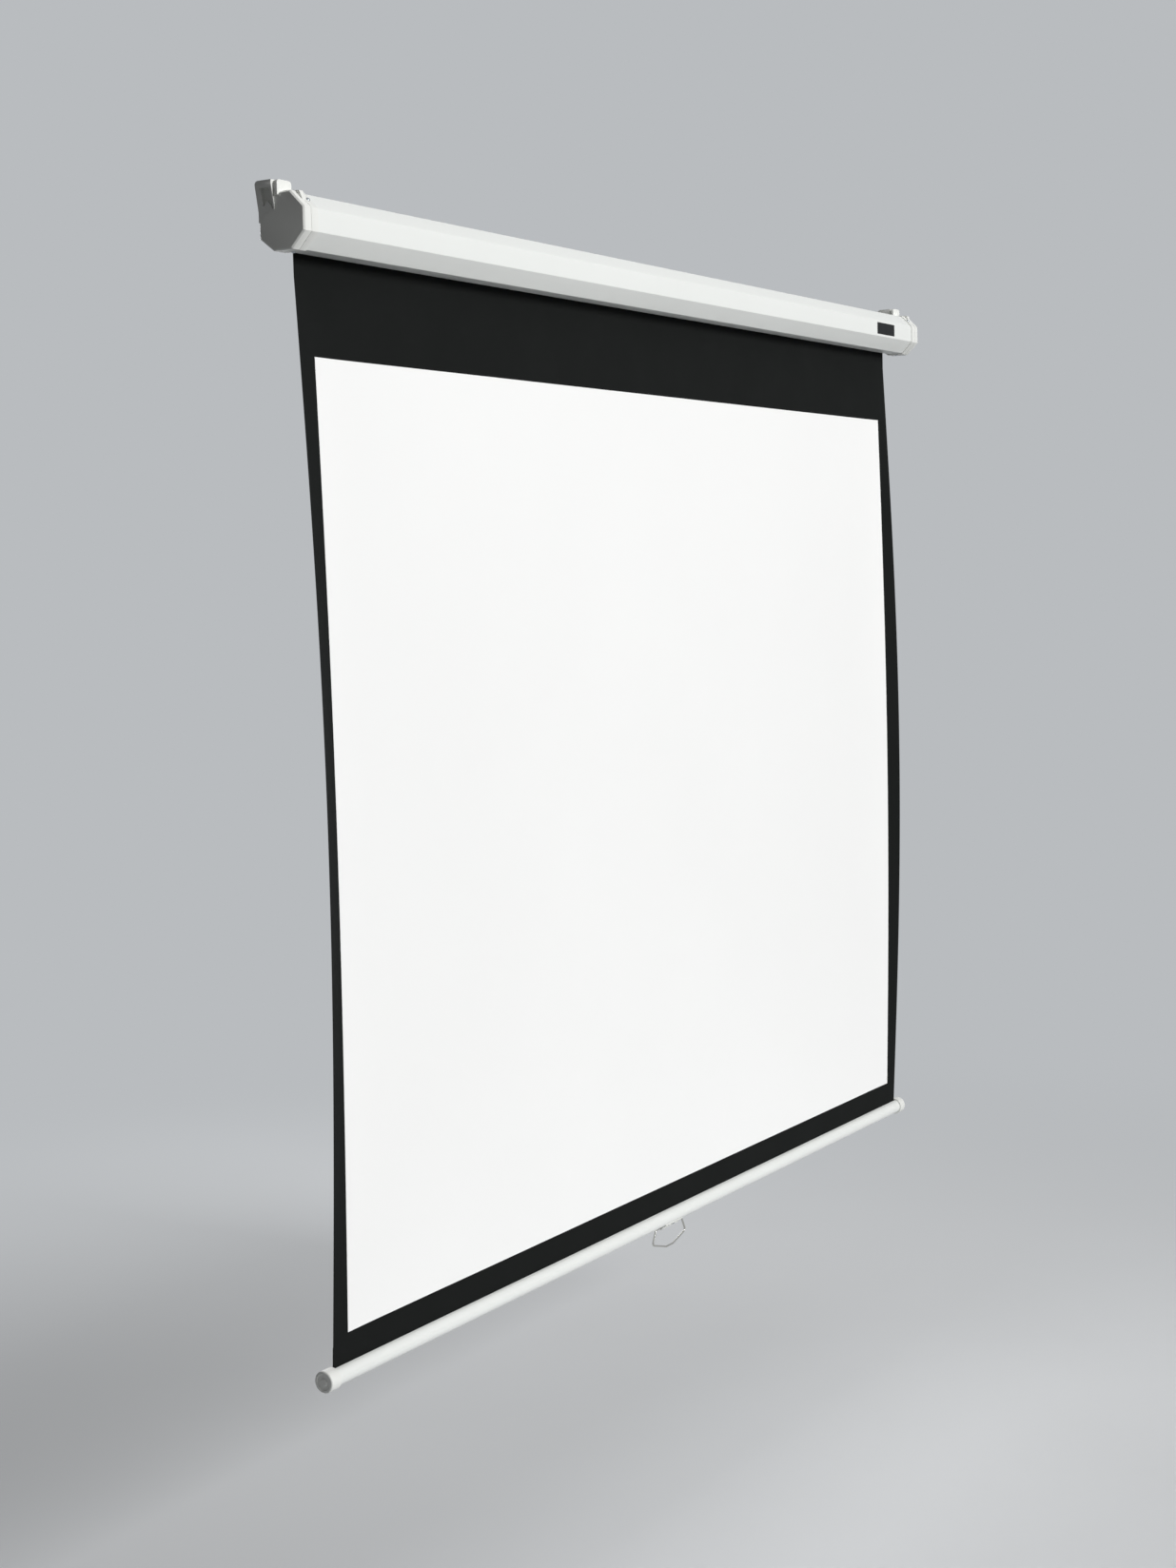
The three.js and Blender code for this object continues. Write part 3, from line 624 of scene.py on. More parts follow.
def make_piece(
    name: str,
    surfaces: Sequence[Surface],
    finish: Finish,
    body: Body,
    stands_for: Sequence[str] = (),
    sharp: float = 32.0,
) -> Piece:
    """Makes one object of surfaces, merges their shared points, turns the faces outward and dresses it.

    Args:
        name: the piece's name.
        surfaces: the grids that together close its skin.
        finish: its finish.
        body: the body that it rides on.
        stands_for: the nodes of the frame that it replaces.
        sharp: the angle in degrees over which an edge stays sharp.

    Returns:
        The object, at the origin.
    """
    counts = np.cumsum([0, *(s.points.shape[0] * s.points.shape[1] for s in surfaces)])
    points = np.concatenate([s.points.reshape(-1, 3) for s in surfaces]) * MM
    faces = np.concatenate([s.faces(int(start)) for s, start in zip(surfaces, counts)])
    mesh = bpy.data.meshes.new(name)
    mesh.from_pydata(points.tolist(), [], faces.tolist())
    if all(s.cloth is not None for s in surfaces):
        cloth = np.concatenate([s.cloth.reshape(-1, 2) for s in surfaces]) * MM
        layer = mesh.uv_layers.new(name="cloth")
        layer.uv.foreach_set("vector", cloth[faces.ravel()].astype(np.float32).ravel())
    work = bmesh.new()
    work.from_mesh(mesh)
    bmesh.ops.remove_doubles(work, verts=work.verts, dist=MERGE_DISTANCE)
    bmesh.ops.dissolve_degenerate(work, edges=work.edges, dist=MERGE_DISTANCE)
    bmesh.ops.recalc_face_normals(work, faces=work.faces)
    work.to_mesh(mesh)
    work.free()
    mesh.shade_smooth()
    mesh.set_sharp_from_angle(angle=np.radians(sharp))
    return dress(put(name, mesh), finish, body, stands_for)


def dress(made: Piece, finish: Finish, body: Body, stands_for: Sequence[str]) -> Piece:
    """Gives an object its finish and its body, and hides the nodes that it replaces.

    Args:
        made: the object.
        finish: its finish.
        body: the body that it rides on.
        stands_for: the nodes of the frame that it replaces.

    Returns:
        The object.
    """
    made.data.materials.clear()
    made.data.materials.append(finish.material())
    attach(made, body.value)
    if stands_for:
        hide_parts(*stands_for)
    log.info("%s: %d faces on %s", made.name, len(made.data.polygons), body.value)
    return made


def refined(node: str, name: str, finish: Finish, body: Body, edge: float) -> Piece:
    """Makes a finer piece from a node's own mesh: merged, with flat areas as single faces and eased edges.

    Args:
        node: the node of the frame.
        name: the new piece's name.
        finish: its finish.
        body: the body that it rides on.
        edge: the radius of the eased edges, in millimetres.

    Returns:
        The piece, which replaces the node.
    """
    same_point = 0.01
    flat_angle = 1.0
    edge_angle = 30.0
    edge_faces = 3
    mesh = bpy.data.objects[node].data.copy()
    mesh.name = name
    work = bmesh.new()
    work.from_mesh(mesh)
    bmesh.ops.remove_doubles(work, verts=work.verts, dist=same_point * MM)
    bmesh.ops.dissolve_limit(work, angle_limit=np.radians(flat_angle), verts=work.verts, edges=work.edges)
    work.to_mesh(mesh)
    work.free()
    mesh.shade_smooth()
    made = put(name, mesh)
    bevel = made.modifiers.new("eased edges", "BEVEL")
    bevel.width = edge * MM
    bevel.segments = edge_faces
    bevel.limit_method = "ANGLE"
    bevel.angle_limit = np.radians(edge_angle)
    bevel.harden_normals = True
    bevel.use_clamp_overlap = True
    return dress(made, finish, body, [node])


# The screen's sub-assemblies


@dataclass
class Case:
    """The octagonal steel case: seven sides of one bent sheet, with a lip and a return beside the slot."""

    across: float = 69.0
    wall: float = 1.0
    bend_radius: float = 2.0
    bend_steps: int = 8
    half_length: float = 925.2
    sections: int = 25
    lip_offset: float = 13.4
    lip_height: float = 4.0
    return_width: float = 4.0
    plate_left: float = 750.0
    plate_right: float = 824.0
    plate_half_height: float = 10.5
    plate_thickness: float = 0.7
    plate_sunk: float = 0.05
    plate_corner: float = 1.2
    plate_edge: float = 0.3

    def shell(self) -> list[Surface]:
        """Bends the sheet: a rounded chain round seven corners of the octagon, carried along X."""
        corners = octagon(self.across)
        rear_low = corners[7]
        bottom = corners[5, 1]
        chain = np.array([
            rear_low - self.return_width * np.sqrt(HALF),
            rear_low,
            *corners[:6],
            [self.lip_offset, bottom],
            [self.lip_offset, bottom + self.lip_height],
        ])
        chain = rounded_chain(chain, self.bend_radius, self.bend_steps)
        return moved(extruded_band(chain, self.wall, self.half_length, self.sections), ROLLER_AXIS)

    def plate(self) -> list[Surface]:
        """Makes the bare plate on the front side: rows of one rounded outline, from just inside the case out
        to the eased face, that start and end at its middle. The outline is a rectangle's corner points plus
        the corner radius times a turning direction."""
        steps = self.bend_steps
        direction = np.concatenate([circle(1, turn, turn + 90, steps) for turn in (0, 90, 180, 270)])
        signs = np.repeat([[1, 1], [-1, 1], [-1, -1], [1, -1]], steps + 1, axis=0)
        middle = np.array([(self.plate_left + self.plate_right) * HALF, 0])
        size = np.array([(self.plate_right - self.plate_left) * HALF, self.plate_half_height])
        sunk, face, edge = self.plate_sunk, -self.plate_thickness, self.plate_edge
        levels = [(sunk, 0, 0), (sunk, 0, 1), (face + edge, 0, 1), (face, edge, 1), (face, 0, 0)]
        rows = []
        for depth, back, reach in levels:
            outline = signs * (size - self.plate_corner) + direction * (self.plate_corner - back)
            outline = middle + reach * np.concatenate([outline, outline[:1]])
            across = np.full(len(outline), depth - self.across * HALF)
            rows.append(np.stack([outline[:, 0], across, outline[:, 1]], axis=-1))
        return moved([Surface(np.stack(rows))], ROLLER_AXIS)

    def build(self) -> None:
        """Builds the shell and the plate."""
        make_piece("octagonal_case", self.shell(), POWDER_COAT, Body.HOUSING, ["case_shell"])
        make_piece("bare_badge_plate", self.plate(), BARE_PLATE, Body.HOUSING)


@dataclass
class EndCaps:
    """The moulded end caps with their hangers, and the zinc plated brackets inside the ends of the case."""

    cap_edge: float = 0.6
    bracket_edge: float = 0.3

    def build(self) -> None:
        """Builds both caps and both brackets from the frame's own forms."""
        for side in Side:
            name = f"hanger_cap_{side.word}"
            refined(f"end_cap_{side.word}", name, MOULDED_ABS, Body.HOUSING, self.cap_edge)
        for node in ("idle_bracket", "spear_bracket"):
            refined(node, f"{node}_plate", ZINC_PLATE, Body.HOUSING, self.bracket_edge)


@dataclass(frozen=True)
class Fastener:
    """A self-tapping screw with a domed head, a cross recess and a thread. The recess is in shares of the
    head's radius and height, and the taper in a share of the shank's length."""

    head_radius: float
    head_height: float
    shank_radius: float
    shank_length: float
    recess_share: float = 0.62
    recess_width: float = 0.24
    recess_depth: float = 0.55
    recess_slope: float = 0.08
    thread_depth: float = 0.3
    thread_pitch: float = 1.3
    taper_share: float = 0.1
    columns: int = 64
    head_rows: int = 26
    shank_rows: int = 40

    def form(self) -> Surface:
        """Makes the screw along Z, with the underside of its head at zero.

        The head's height at radius r is the head's height times the root of one less r squared over the
        head radius squared, less a cross: the recess depth where a point is within the arms' width of the X
        or Y axis and inside the recess radius, each with a short slope. The shank's radius drops by a
        triangle wave of height over pitch less the turn, and its last tenth tapers to a point.
        """
        turn = np.linspace(0, TURN, self.columns + 1)[None]
        r = self.head_radius * np.linspace(0, 1, self.head_rows)[:, None]
        x, y = r * np.cos(turn), r * np.sin(turn)
        dome = self.head_height * np.sqrt(np.clip(1 - (r / self.head_radius) ** 2, 0, 1))
        half_width = self.recess_width * self.head_radius * HALF
        slope = self.recess_slope * self.head_radius
        arm = np.minimum(np.abs(x), np.abs(y))
        inside = np.clip((half_width - arm) / slope + HALF, 0, 1)
        inside = inside * np.clip((self.recess_share * self.head_radius - r) / slope + HALF, 0, 1)
        head = np.stack([x, y, dome - inside * self.recess_depth * self.head_height], axis=-1)
        z = -np.linspace(0, self.shank_length, self.shank_rows)[:, None]
        wave = np.abs((z / self.thread_pitch - turn / TURN) % 1 - HALF) * 2
        taper = np.clip((self.shank_length + z) / (self.shank_length * self.taper_share), 0, 1) ** HALF
        radius = (self.shank_radius - self.thread_depth * wave) * taper
        depth = np.broadcast_to(z, radius.shape)
        shank = np.stack([radius * np.cos(turn), radius * np.sin(turn), depth], axis=-1)
        return Surface(np.concatenate([head, shank]))


@dataclass
class Screws:
    """All the screws that show or hold the inner brackets, where the frame has them."""

    cap_screw: Fastener = Fastener(3.0, 1.7, 1.5, 3.4)
    bracket_screw: Fastener = Fastener(3.0, 1.7, 1.5, 5.0)
    clip_screw: Fastener = Fastener(2.0, 1.1, 1.0, 3.1)
    cap_station: float = 907.5
    cap_distance: float = 36.3
    upper_angle: float = 135.0
    down_angle: float = 270.0
    bracket_station: float = 921.9
    bracket_spread: float = 20.0
    clip_angle: float = 38.0
    clip_distance: float = 14.5

    def build(self) -> None:
        """Builds every screw on its facet, with its axis square to it."""
        along = (1, 0, 0)
        for side in Side:
            for level, angle in (("upper", self.upper_angle), ("lower", self.down_angle)):
                axis = self.spoke(angle)
                place = axis * self.cap_distance + ROLLER_AXIS + [side.value * self.cap_station, 0, 0]
                self.seat(f"cap_screw_{side.word}_{level}", self.cap_screw, place, axis, along)
            for level, offset in (("front", -self.bracket_spread), ("rear", self.bracket_spread)):
                name = f"bracket_screw_{side.word}_{level}"
                place = np.add(ROLLER_AXIS, (side.value * self.bracket_station, offset, 0))
                self.seat(name, self.bracket_screw, place, (-side.value, 0, 0), (0, 1, 0))
        for level, turn in (("front", -self.clip_angle), ("rear", self.clip_angle)):
            axis = self.spoke(self.down_angle + turn)
            place = axis * self.clip_distance + BAR_AXIS
            self.seat(f"clip_screw_{level}", self.clip_screw, place, axis, along, Body.WEIGHT_BAR)

    def spoke(self, angle: float) -> Array:
        """Returns the direction square to X at an angle in degrees from +Y toward +Z."""
        return np.array([0, np.cos(np.radians(angle)), np.sin(np.radians(angle))])

    def seat(
        self,
        node: str,
        screw: Fastener,
        place: Array,
        axis: Sequence[float],
        across: Sequence[float],
        body: Body = Body.HOUSING,
    ) -> None:
        """Stands one screw where the frame has it.

        Args:
            node: the node of the frame.
            screw: the kind of screw.
            place: where the underside of its head is.
            axis: the way that its Z points.
            across: the way that its X points.
            body: the body that it rides on.
        """
        basis = np.stack([across, np.cross(axis, across), axis])
        form = Surface(screw.form().points @ basis + place)
        make_piece(f"cross_{node}", [form], SCREW_ZINC, body, [node])


@dataclass
class Sheet:
    """The hanging sheet: black vinyl with a white viewing layer, and a hem welded round the bar's rod.

    It ends inside the case, under the roll and clear of the lip, where its curled edges have room. The hem
    rides on the bar and stands behind the sheet's foot, so it covers what the foot leaves open above the
    bar.
    """

    picture_half: float = 853.5
    picture_top: float = -161.5
    picture_foot: float = -1441.5
    bar_top: float = -1481.5
    foot: float = -1485.0
    cut_length: float = 1485.0
    front: float = -17.7
    layer_gap: float = 0.05
    columns: int = 161
    rows: int = 121
    sharp: float = 50.0
    curl_width: float = 114.0
    curl_depth: float = 23.5
    curl_top: float = -61.5
    ripple: float = 0.3
    long_wave: float = 540.0
    long_phase: float = 0.7
    short_wave: float = 230.0
    short_slant: float = 2600.0
    stowed_top: float = -18.4
    stowed_foot: float = -30.0
    hem_inner: float = 3.9
    hem_height: float = 28.0
    hem_neck: float = 1.5
    hem_close: float = 0.6
    hem_start: float = 62.0
    hem_end: float = -242.0
    hem_steps: int = 40
    hem_rows: int = 9
    hem_columns: int = 121

    def fall(self, z: Array) -> Array:
        """Returns the share of the way from the top of the curl to the bar, from 0 to 1."""
        return np.clip((self.curl_top - z) / (self.curl_top - self.bar_top), 0, 1)

    def curl(self, x: Array, z: Array) -> Array:
        """Returns how far the cloth stands forward: the curl's depth times the square of the share of the
        way across the curled edge, times the sine of half a turn from its top to the bar."""
        share = np.clip(np.abs(x) - (SHEET_HALF - self.curl_width), 0, None) / self.curl_width
        return self.curl_depth * share**2 * np.sin(np.pi * self.fall(z))

    def hang(self, x: Array, z: Array) -> Array:
        """Returns the curl with slow ripples: a long and a short sine of X, the short one slanted by Z, that
        both fade at the top and at the bar."""
        long = np.sin(x * TURN / self.long_wave + self.long_phase)
        short = np.sin(x * TURN / self.short_wave + z * TURN / self.short_slant)
        waves = long + HALF * short
        return self.curl(x, z) + self.ripple * waves * np.sin(np.pi * self.fall(z)) ** HALF

    def layer(self, x: Array, z: Array, front: float) -> list[Surface]:
        """Makes a layer of cloth as it hangs, with its back one thickness behind its front.

        Args:
            x: the columns' places.
            z: the rows' places.
            front: the front's y where the cloth is flat.

        Returns:
            The front, the back and the four strips that close the edges.
        """
        across, down = np.meshgrid(x, z)
        near = np.stack([across, front - self.hang(across, down), down], axis=-1)
        far = near + np.array([0, VINYL, 0])
        cloth = np.stack([across, down], axis=-1)
        strips = []
        for part in (np.s_[:, 0], np.s_[:, -1], np.s_[0, :], np.s_[-1, :]):
            strips.append(Surface(np.stack([near[part], far[part]]), np.stack([cloth[part], cloth[part]])))
        return [Surface(near, cloth), Surface(far, cloth), *strips]

    def hem(self) -> list[Surface]:
        """Makes the turned-back foot: down from the weld behind the sheet, round the rod, and up again.

        The chain is a line, an arc round the rod's centre between the hem's two angles, and a short line
        back to the sheet. Above the bar it follows the sheet's curl.
        """
        behind = self.front + VINYL + self.layer_gap + VINYL
        neck_z = self.bar_top - self.hem_neck
        loop = circle(self.hem_inner + VINYL, self.hem_start, self.hem_end, self.hem_steps) + ROD_AXIS[1:]
        rows = np.linspace(self.bar_top + self.hem_height, neck_z, self.hem_rows)
        rear = np.stack([np.full(len(rows), behind), rows], axis=-1)
        close = np.array([[self.front + VINYL, neck_z - self.hem_close]])
        chain = np.concatenate([rear, loop, close])
        inner = shifted(chain, -VINYL)
        x = np.linspace(-SHEET_HALF, SHEET_HALF, self.hem_columns)
        outline = np.concatenate([chain, inner[::-1], chain[:1]])
        skin = np.empty((len(x), len(outline), 3))
        skin[..., 0] = x[:, None]
        skin[..., 2] = outline[:, 1]
        above_bar = outline[:, 1] > self.bar_top
        skin[..., 1] = outline[:, 0] - above_bar * self.hang(x[:, None], outline[None, :, 1])
        run = np.concatenate([[0], np.cumsum(np.linalg.norm(np.diff(outline, axis=0), axis=-1))])
        cloth = np.stack(np.broadcast_arrays(x[:, None], -run[None]), axis=-1)
        pairs = len(chain)
        ends = []
        for k in (0, -1):
            both = [np.stack([grid[k, :pairs], grid[k, pairs : 2 * pairs][::-1]]) for grid in (skin, cloth)]
            ends.append(Surface(*both))
        return [Surface(skin, cloth), *ends]

    def build(self) -> None:
        """Builds the mask, the viewing layer and the hem as they hang."""
        edges = [-self.picture_half, self.picture_half]
        x = np.unique(np.concatenate([np.linspace(-SHEET_HALF, SHEET_HALF, self.columns), edges]))
        edges = [self.picture_foot, self.picture_top]
        z = np.unique(np.concatenate([np.linspace(self.foot, 0, self.rows), edges]))
        mask = make_piece(
            "black_mask_sheet", self.layer(x, z, self.front), MASK_VINYL, Body.HOUSING,
            ["screen_fabric"], self.sharp,
        )
        x = x[np.abs(x) <= self.picture_half]
        z = z[(z >= self.picture_foot) & (z <= self.picture_top)]
        picture = make_piece(
            "white_viewing_layer", self.layer(x, z, self.front - self.layer_gap - VINYL), SCREEN_VINYL,
            Body.HOUSING, ["viewing_surface"], self.sharp,
        )
        hem = make_piece(
            "sheet_hem_loop", self.hem(), MASK_VINYL, Body.WEIGHT_BAR, ["sheet_hem"], self.sharp,
        )
        for piece in (mask, picture):
            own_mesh(piece)


@dataclass
class Roller:
    """The roller: a steel tube with moulded ends, the turns left on it, its spring motor and its ratchet."""

    tube_radius: float = 16.0
    tube_wall: float = 1.0
    tube_end: float = 899.5
    tube_sides: int = 96
    roll_inner: float = 16.35
    roll_outer: float = 17.6
    roll_turns: float = 2.5
    roll_points: int = 200
    roll_sections: int = 9
    roll_sharp: float = 50.0
    spring_start: float = 660.7
    spring_end: float = 861.7
    spring_radius: float = 9.0
    spring_wire: float = 2.4
    spring_turns: int = 35
    coil_steps: int = 24
    wire_sides: int = 12
    moulded_edge: float = 0.2
    catch_edge: float = 0.05

    def wound(self) -> list[Surface]:
        """Winds the turns: a spiral band whose radius grows evenly with the angle."""
        sweep = self.roll_turns * TURN
        angle = np.linspace(-sweep, 0, self.roll_points)
        radius = self.roll_inner + (self.roll_outer - self.roll_inner) * (1 + angle / sweep)
        chain = np.stack([radius * np.cos(angle), radius * np.sin(angle)], axis=-1)
        band = extruded_band(chain, -VINYL, SHEET_HALF, self.roll_sections)
        around = np.concatenate([angle, angle[::-1], angle[:1]])
        for part, turn in zip(band, (around, angle, angle)):
            places = np.broadcast_arrays(part.points[..., 0], turn[None] * self.tube_radius)
            part.cloth = np.stack(places, axis=-1)
        return moved(band, ROLLER_AXIS)

    def tube(self) -> list[Surface]:
        """Turns the tube: a ring profile round the roller's axis."""
        inner = self.tube_radius - self.tube_wall
        ring = with_mirror([[inner, -self.tube_end], [self.tube_radius, -self.tube_end]], (1, -1))
        return moved([turned(ring, self.tube_sides)], ROLLER_AXIS)

    def spring(self) -> list[Surface]:
        """Winds the spring: x grows evenly with the angle on a circle, and both ends turn along the axis."""
        angle = np.linspace(0, self.spring_turns * TURN, self.spring_turns * self.coil_steps + 1)
        share = angle / angle[-1]
        start = self.spring_start + self.spring_wire
        x = start + share * (self.spring_end - self.spring_wire - start)
        coil = np.stack([x, self.spring_radius * np.cos(angle), self.spring_radius * np.sin(angle)], axis=-1)
        tail, nose = coil[:1].copy(), coil[-1:].copy()
        tail[:, 0] = self.spring_start
        nose[:, 0] = self.spring_end
        path = np.concatenate([tail, coil, nose])
        inward = path * np.array([0.0, -1.0, -1.0])
        return moved([tube(path, self.spring_wire * HALF, self.wire_sides, inward)], ROLLER_AXIS)

    def build(self) -> None:
        """Builds the turned and wound pieces, and refines the moulded and pressed ones."""
        body = Body.ROLLER
        make_piece("wound_vinyl", self.wound(), MASK_VINYL, body, ["fabric_roll"], self.roll_sharp)
        make_piece("rolled_tube", self.tube(), ZINC_PLATE, body, ["roller_tube"])
        make_piece("motor_spring", self.spring(), TEMPERED_WIRE, body, ["torsion_spring"])
        moulded, catch = self.moulded_edge, self.catch_edge
        refinements = [
            (NATURAL_NYLON, Body.ROLLER, moulded, ["idle_end_plug", "drive_end_plug", "spring_anchor_plug"]),
            (NATURAL_NYLON, Body.HOUSING, moulded, ["idle_bush"]),
            (ZINC_PLATE, Body.HOUSING, moulded, ["spring_shaft", "spring_collar"]),
            (ZINC_PLATE, Body.HOUSING, catch, ["ratchet_wheel"]),
            (ZINC_PLATE, Body.PAWL_A, catch, ["pawl_a"]),
            (ZINC_PLATE, Body.PAWL_B, catch, ["pawl_b"]),
            (DRAWN_WIRE, Body.ROLLER, moulded, ["pawl_pin_a", "pawl_pin_b"]),
        ]
        for finish, rides_on, edge, nodes in refinements:
            for node in nodes:
                refined(node, f"{node}_piece", finish, rides_on, edge)


@dataclass
class WeightBar:
    """The weight bar: a slotted tube with dished collars, the hem's rod inside, and the handle's clip."""

    radius: float = 12.5
    wall: float = 1.4
    slot: float = 3.0
    tube_end: float = 903.7
    sides: int = 96
    sections: int = 17
    cap_radius: float = 15.0
    cap_start: float = 887.0
    cap_end: float = 907.0
    cap_floor: float = 3.0
    cap_gap: float = 0.3
    cap_round: float = 2.5
    cap_round_steps: int = 10
    cap_fillet: float = 0.5
    dish_radius: float = 11.0
    dish_depth: float = 1.2
    button_radius: float = 5.0
    rod_radius: float = 3.6
    rod_end: float = 898.0
    rod_chamfer: float = 0.4
    rod_sides: int = 48
    clip_edge: float = 0.45

    def tube(self) -> list[Surface]:
        """Rolls the tube: a band on an arc that starts and ends at half the slot's width from the top."""
        opening = np.degrees(np.arcsin(self.slot * HALF / self.radius))
        top = 90
        arc = circle(self.radius, top + opening, top + 360 - opening, self.sides)
        return moved(extruded_band(arc, self.wall, self.tube_end, self.sections), BAR_AXIS)

    def cap(self) -> list[Surface]:
        """Turns a collar: a cup with a rounded rim, whose end has a dish round a raised button."""
        fillet = self.cap_fillet
        rim = circle(self.cap_round, 0, 90, self.cap_round_steps)
        bore = self.radius + self.cap_gap
        cup = self.cap_end - self.cap_floor
        floor = self.cap_end - self.dish_depth
        profile = np.concatenate([
            [[0, cup], [bore, cup], [bore, self.cap_start]],
            [[self.cap_radius - fillet, self.cap_start], [self.cap_radius, self.cap_start + fillet]],
            rim + [self.cap_radius - self.cap_round, self.cap_end - self.cap_round],
            [[self.dish_radius + fillet, self.cap_end], [self.dish_radius, self.cap_end - fillet]],
            [[self.dish_radius - fillet, floor], [self.button_radius + fillet, floor]],
            [[self.button_radius, self.cap_end - fillet], [self.button_radius - fillet, self.cap_end]],
            [[0, self.cap_end]],
        ])
        return moved([turned(profile, self.sides)], BAR_AXIS)

    def rod(self) -> list[Surface]:
        """Turns the hem's rod, with a chamfer at both ends."""
        profile = with_mirror([
            [0, -self.rod_end],
            [self.rod_radius - self.rod_chamfer, -self.rod_end],
            [self.rod_radius, self.rod_chamfer - self.rod_end],
        ], (1, -1))
        return moved([turned(profile, self.rod_sides)], ROD_AXIS)

    def build(self) -> None:
        """Builds the tube, the collars, the rod and the clip."""
        bar = Body.WEIGHT_BAR
        make_piece("slotted_bar_tube", self.tube(), POWDER_COAT, bar, ["weight_bar_tube"])
        collar = self.cap()
        for side, form in ((Side.RIGHT, collar), (Side.LEFT, mirrored(collar))):
            name = f"dished_bar_cap_{side.word}"
            make_piece(name, form, MOULDED_ABS, bar, [f"bar_cap_{side.word}"])
        make_piece("steel_hem_rod", self.rod(), ZINC_PLATE, bar, ["hem_rod"])
        refined("handle_clip", "handle_clip_saddle", MOULDED_ABS, bar, self.clip_edge)


@dataclass
class PullHandle:
    """The wire handle: one closed loop, straight along its top, that spreads and then narrows."""

    top: Point = (0.0, -17.5, -1508.3)
    wire_radius: float = 1.5
    top_half: float = 42.0
    wide_half: float = 54.0
    foot_half: float = 10.5
    wide_drop: float = 22.5
    foot_drop: float = 35.0
    bend: float = 5.0
    bend_steps: int = 12
    sides: int = 24
    sharp: float = 60.0

    def loop(self) -> list[Surface]:
        """Bends the wire: a rounded chain of the six corners, with a circle carried along it. The chain
        starts and ends at the middle of the top, where the tube's poles are left off."""
        outline = with_mirror([
            [0, 0],
            [self.top_half, 0],
            [self.wide_half, -self.wide_drop],
            [self.foot_half, -self.foot_drop],
        ], (-1, 1))
        flat = rounded_chain(outline, self.bend, self.bend_steps)
        path = np.stack([flat[:, 0], np.zeros(len(flat)), flat[:, 1]], axis=-1)
        wire = tube(path, self.wire_radius, self.sides, np.array([0.0, 1.0, 0.0]))
        return moved([Surface(wire.points[1:-1])], self.top)

    def build(self) -> None:
        """Builds the loop."""
        make_piece("wire_pull_handle", self.loop(), DRAWN_WIRE, Body.HANDLE, ["pull_handle"], self.sharp)


# Studio


@dataclass(frozen=True)
class Softbox:
    """A square lamp: where it stands, what it is turned to, its side in metres and its power in watts."""

    name: str
    place: Point
    target: Point
    side: float
    power: float

    def build(self) -> None:
        """Puts the lamp in its place."""
        light = bpy.data.lights.new(self.name, "AREA")
        light.shape = "RECTANGLE"
        light.size = self.side
        light.size_y = self.side
        light.energy = self.power
        back = unit(np.subtract(self.place, self.target))
        right = unit(np.cross([0.0, 0.0, 1.0], back))
        stand(self.name, light, (right, np.cross(back, right), back), self.place)


def stand(name: str, data: Any, axes: Sequence[Array], place: Point) -> Piece:
    """Puts a lamp or a camera into the scene.

    Args:
        name: the object's name.
        data: the lamp or the camera.
        axes: the ways that its own X, Y and Z point.
        place: where it stands.

    Returns:
        The object.
    """
    placed = np.eye(4)
    placed[:3, :3] = np.stack(axes, axis=1)
    placed[:3, 3] = place
    made = put(name, data)
    made.matrix_world = Matrix(placed.tolist())
    return made


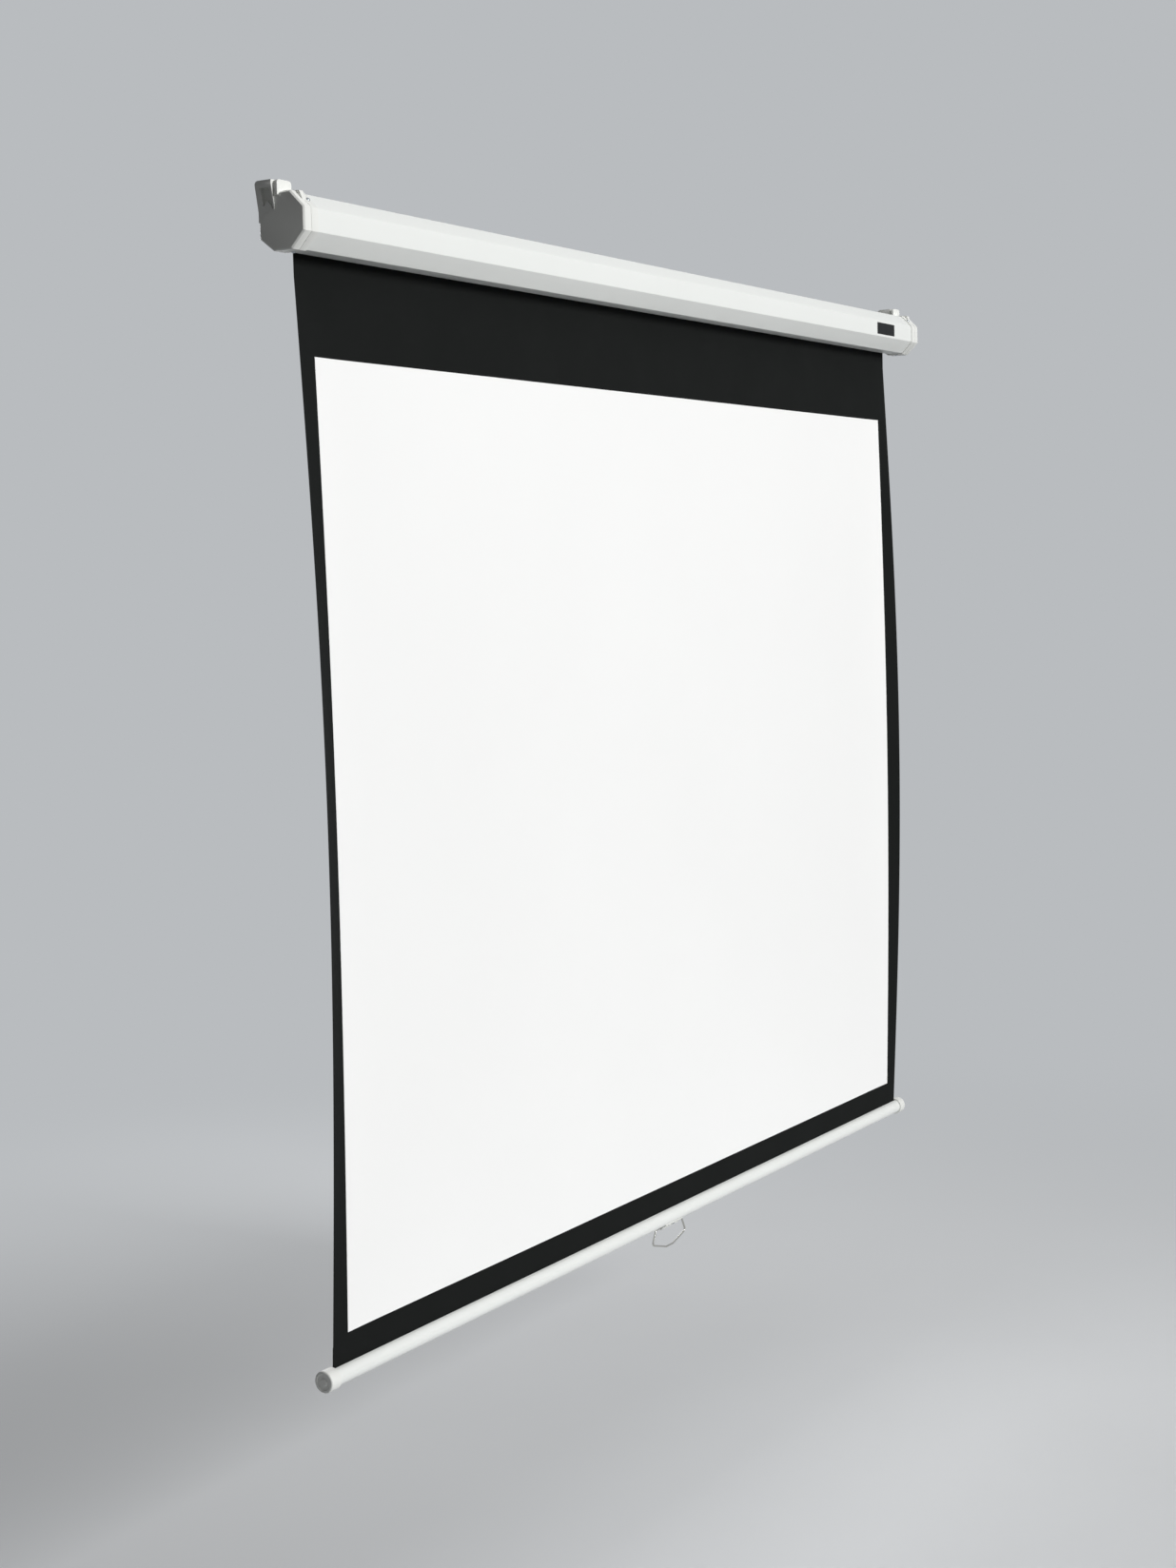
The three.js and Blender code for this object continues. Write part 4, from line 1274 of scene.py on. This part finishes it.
@dataclass
class Studio:
    """The plain pale floor, the soft lamps and the camera at the photograph's viewing angle. Places and
    sizes are metres, the floor's patches are counted per metre, and the sensor's side is millimetres."""

    floor_z: float = -1.95
    floor_radius: float = 14.0
    floor_rings: int = 24
    floor_spokes: int = 96
    floor_colour: str = "#e2e4e6"
    floor_deeper: str = "#dcdee0"
    floor_patches: float = 1.4
    floor_detail: float = 4.0
    fade_start: float = 0.6
    fade_end: float = 3.6
    backdrop: str = "#b9bcbf"
    ambient: float = 0.1
    softboxes: tuple[Softbox, ...] = (
        Softbox("key_softbox", (-0.3, -8.8, 2.6), (0, 0, -0.75), 2.8, 780),
        Softbox("top_softbox", (0.4, -1.2, 2.4), (0, 0, -0.3), 2.4, 16),
        Softbox("rear_softbox", (1.6, 3.2, 0.6), (0, 0, -0.6), 2.4, 70),
    )
    eye: Point = (-3.2296, -1.9023, -0.4661)
    yaw: float = 57.988
    pitch: float = -4.809
    roll: float = -1.485
    focal_pixels: float = 2441.5
    image_height: float = 1648.0
    sensor: float = 36.0
    sight: float = 100.0

    def camera(self) -> None:
        """Sets the camera: forward is turned by the yaw from +Y toward +X and raised by the pitch, and right
        and up are then turned round it by the roll. The lens is the focal length in pixels over the image's
        height, times the sensor's longer side."""
        yaw, pitch, roll = np.radians([self.yaw, self.pitch, self.roll])
        right = np.array([np.cos(yaw), -np.sin(yaw), 0])
        forward = np.array([np.sin(yaw) * np.cos(pitch), np.cos(yaw) * np.cos(pitch), np.sin(pitch)])
        up = np.cross(right, forward)
        across = np.cos(roll) * right + np.sin(roll) * up
        above = np.cos(roll) * up - np.sin(roll) * right
        lens = bpy.data.cameras.new("photograph_view")
        lens.sensor_fit = "AUTO"
        lens.sensor_width = self.sensor
        lens.lens = self.focal_pixels * self.sensor / self.image_height
        lens.clip_end = self.sight
        bpy.context.scene.camera = stand("photograph_view", lens, (across, above, -forward), self.eye)

    def is_seen(self, tree: Tree) -> Any:
        """Returns one for a ray from the camera, off gloss or through glass, and else zero."""
        path = add_node(tree, "ShaderNodeLightPath")
        seen = add_node(tree, "ShaderNodeMath", {
            0: path.outputs["Is Camera Ray"],
            1: path.outputs["Is Glossy Ray"],
        }, operation="MAXIMUM")
        return add_node(tree, "ShaderNodeMath", {
            0: seen.outputs[0],
            1: path.outputs["Is Transmission Ray"],
        }, operation="MAXIMUM").outputs[0]

    def world(self) -> None:
        """Lights the room evenly, and gives the backdrop's colour to what is seen."""
        world = bpy.data.worlds.new("plain_room")
        tree = empty_tree(world)
        room = add_node(tree, "ShaderNodeBackground", {"Color": (1, 1, 1, 1), "Strength": self.ambient})
        wall = add_node(tree, "ShaderNodeBackground", {"Color": linear(self.backdrop), "Strength": 1.0})
        mix = add_node(tree, "ShaderNodeMixShader", {
            0: self.is_seen(tree),
            1: room.outputs[0],
            2: wall.outputs[0],
        })
        add_node(tree, "ShaderNodeOutputWorld", {"Surface": mix.outputs[0]})
        bpy.context.scene.world = world

    def floor_material(self) -> bpy.types.Material:
        """Paints the floor: a pale matt colour that fades to the backdrop with the distance from its middle.
        The faded part glows only for what is seen, and lights the object no more than the room does. The
        underside is clear, so that a view from below still shows the screen."""
        made = bpy.data.materials.new("pale_floor")
        tree = empty_tree(made)
        place = add_node(tree, "ShaderNodeTexCoord").outputs["Object"]
        away = add_node(tree, "ShaderNodeVectorMath", {0: place}, operation="LENGTH")
        fade = add_node(tree, "ShaderNodeMapRange", {
            "Value": away.outputs["Value"],
            "From Min": self.fade_start,
            "From Max": self.fade_end,
        }, interpolation_type="SMOOTHSTEP")
        noise = add_node(tree, "ShaderNodeTexNoise", {
            "Vector": place,
            "Scale": self.floor_patches,
            "Detail": self.floor_detail,
        })
        tone = add_node(tree, "ShaderNodeMix", {
            0: noise.outputs["Fac"],
            6: linear(self.floor_colour),
            7: linear(self.floor_deeper),
        }, data_type="RGBA")
        matt = add_node(tree, "ShaderNodeBsdfDiffuse", {"Color": tone.outputs[2]})
        glow = add_node(tree, "ShaderNodeMath", {
            0: self.is_seen(tree),
            1: self.ambient,
        }, operation="MAXIMUM")
        far = add_node(tree, "ShaderNodeEmission", {
            "Color": linear(self.backdrop),
            "Strength": glow.outputs[0],
        })
        top = add_node(tree, "ShaderNodeMixShader", {
            0: fade.outputs["Result"],
            1: matt.outputs[0],
            2: far.outputs[0],
        })
        both = add_node(tree, "ShaderNodeMixShader", {
            0: add_node(tree, "ShaderNodeNewGeometry").outputs["Backfacing"],
            1: top.outputs[0],
            2: add_node(tree, "ShaderNodeBsdfTransparent").outputs[0],
        })
        add_node(tree, "ShaderNodeOutputMaterial", {"Surface": both.outputs[0]})
        return made

    def floor(self) -> None:
        """Lays the floor: rings of growing radius. The angle falls, so the faces look up."""
        radius = np.linspace(0, self.floor_radius, self.floor_rings)[:, None]
        angle = np.linspace(TURN, 0, self.floor_spokes + 1)[None]
        x, y = radius * np.cos(angle), radius * np.sin(angle)
        grid = Surface(np.stack([x, y, np.zeros_like(x)], axis=-1))
        mesh = bpy.data.meshes.new("floor")
        mesh.from_pydata(grid.points.reshape(-1, 3).tolist(), [], grid.faces(0).tolist())
        mesh.materials.append(self.floor_material())
        laid = put("floor", mesh)
        laid.location = (0, 0, self.floor_z)

    def build(self) -> None:
        """Builds the room, its lamps and the camera."""
        bpy.context.scene.view_settings.view_transform = "Standard"
        self.world()
        self.floor()
        for softbox in self.softboxes:
            softbox.build()
        self.camera()


def main() -> None:
    logging.basicConfig(level=logging.INFO, format="%(message)s")
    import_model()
    for part in (Case(), EndCaps(), Screws(), Sheet(), Roller(), WeightBar(), PullHandle(), Studio()):
        log.info("building %s", type(part).__name__)
        part.build()


if __name__ == "__main__":
    main()
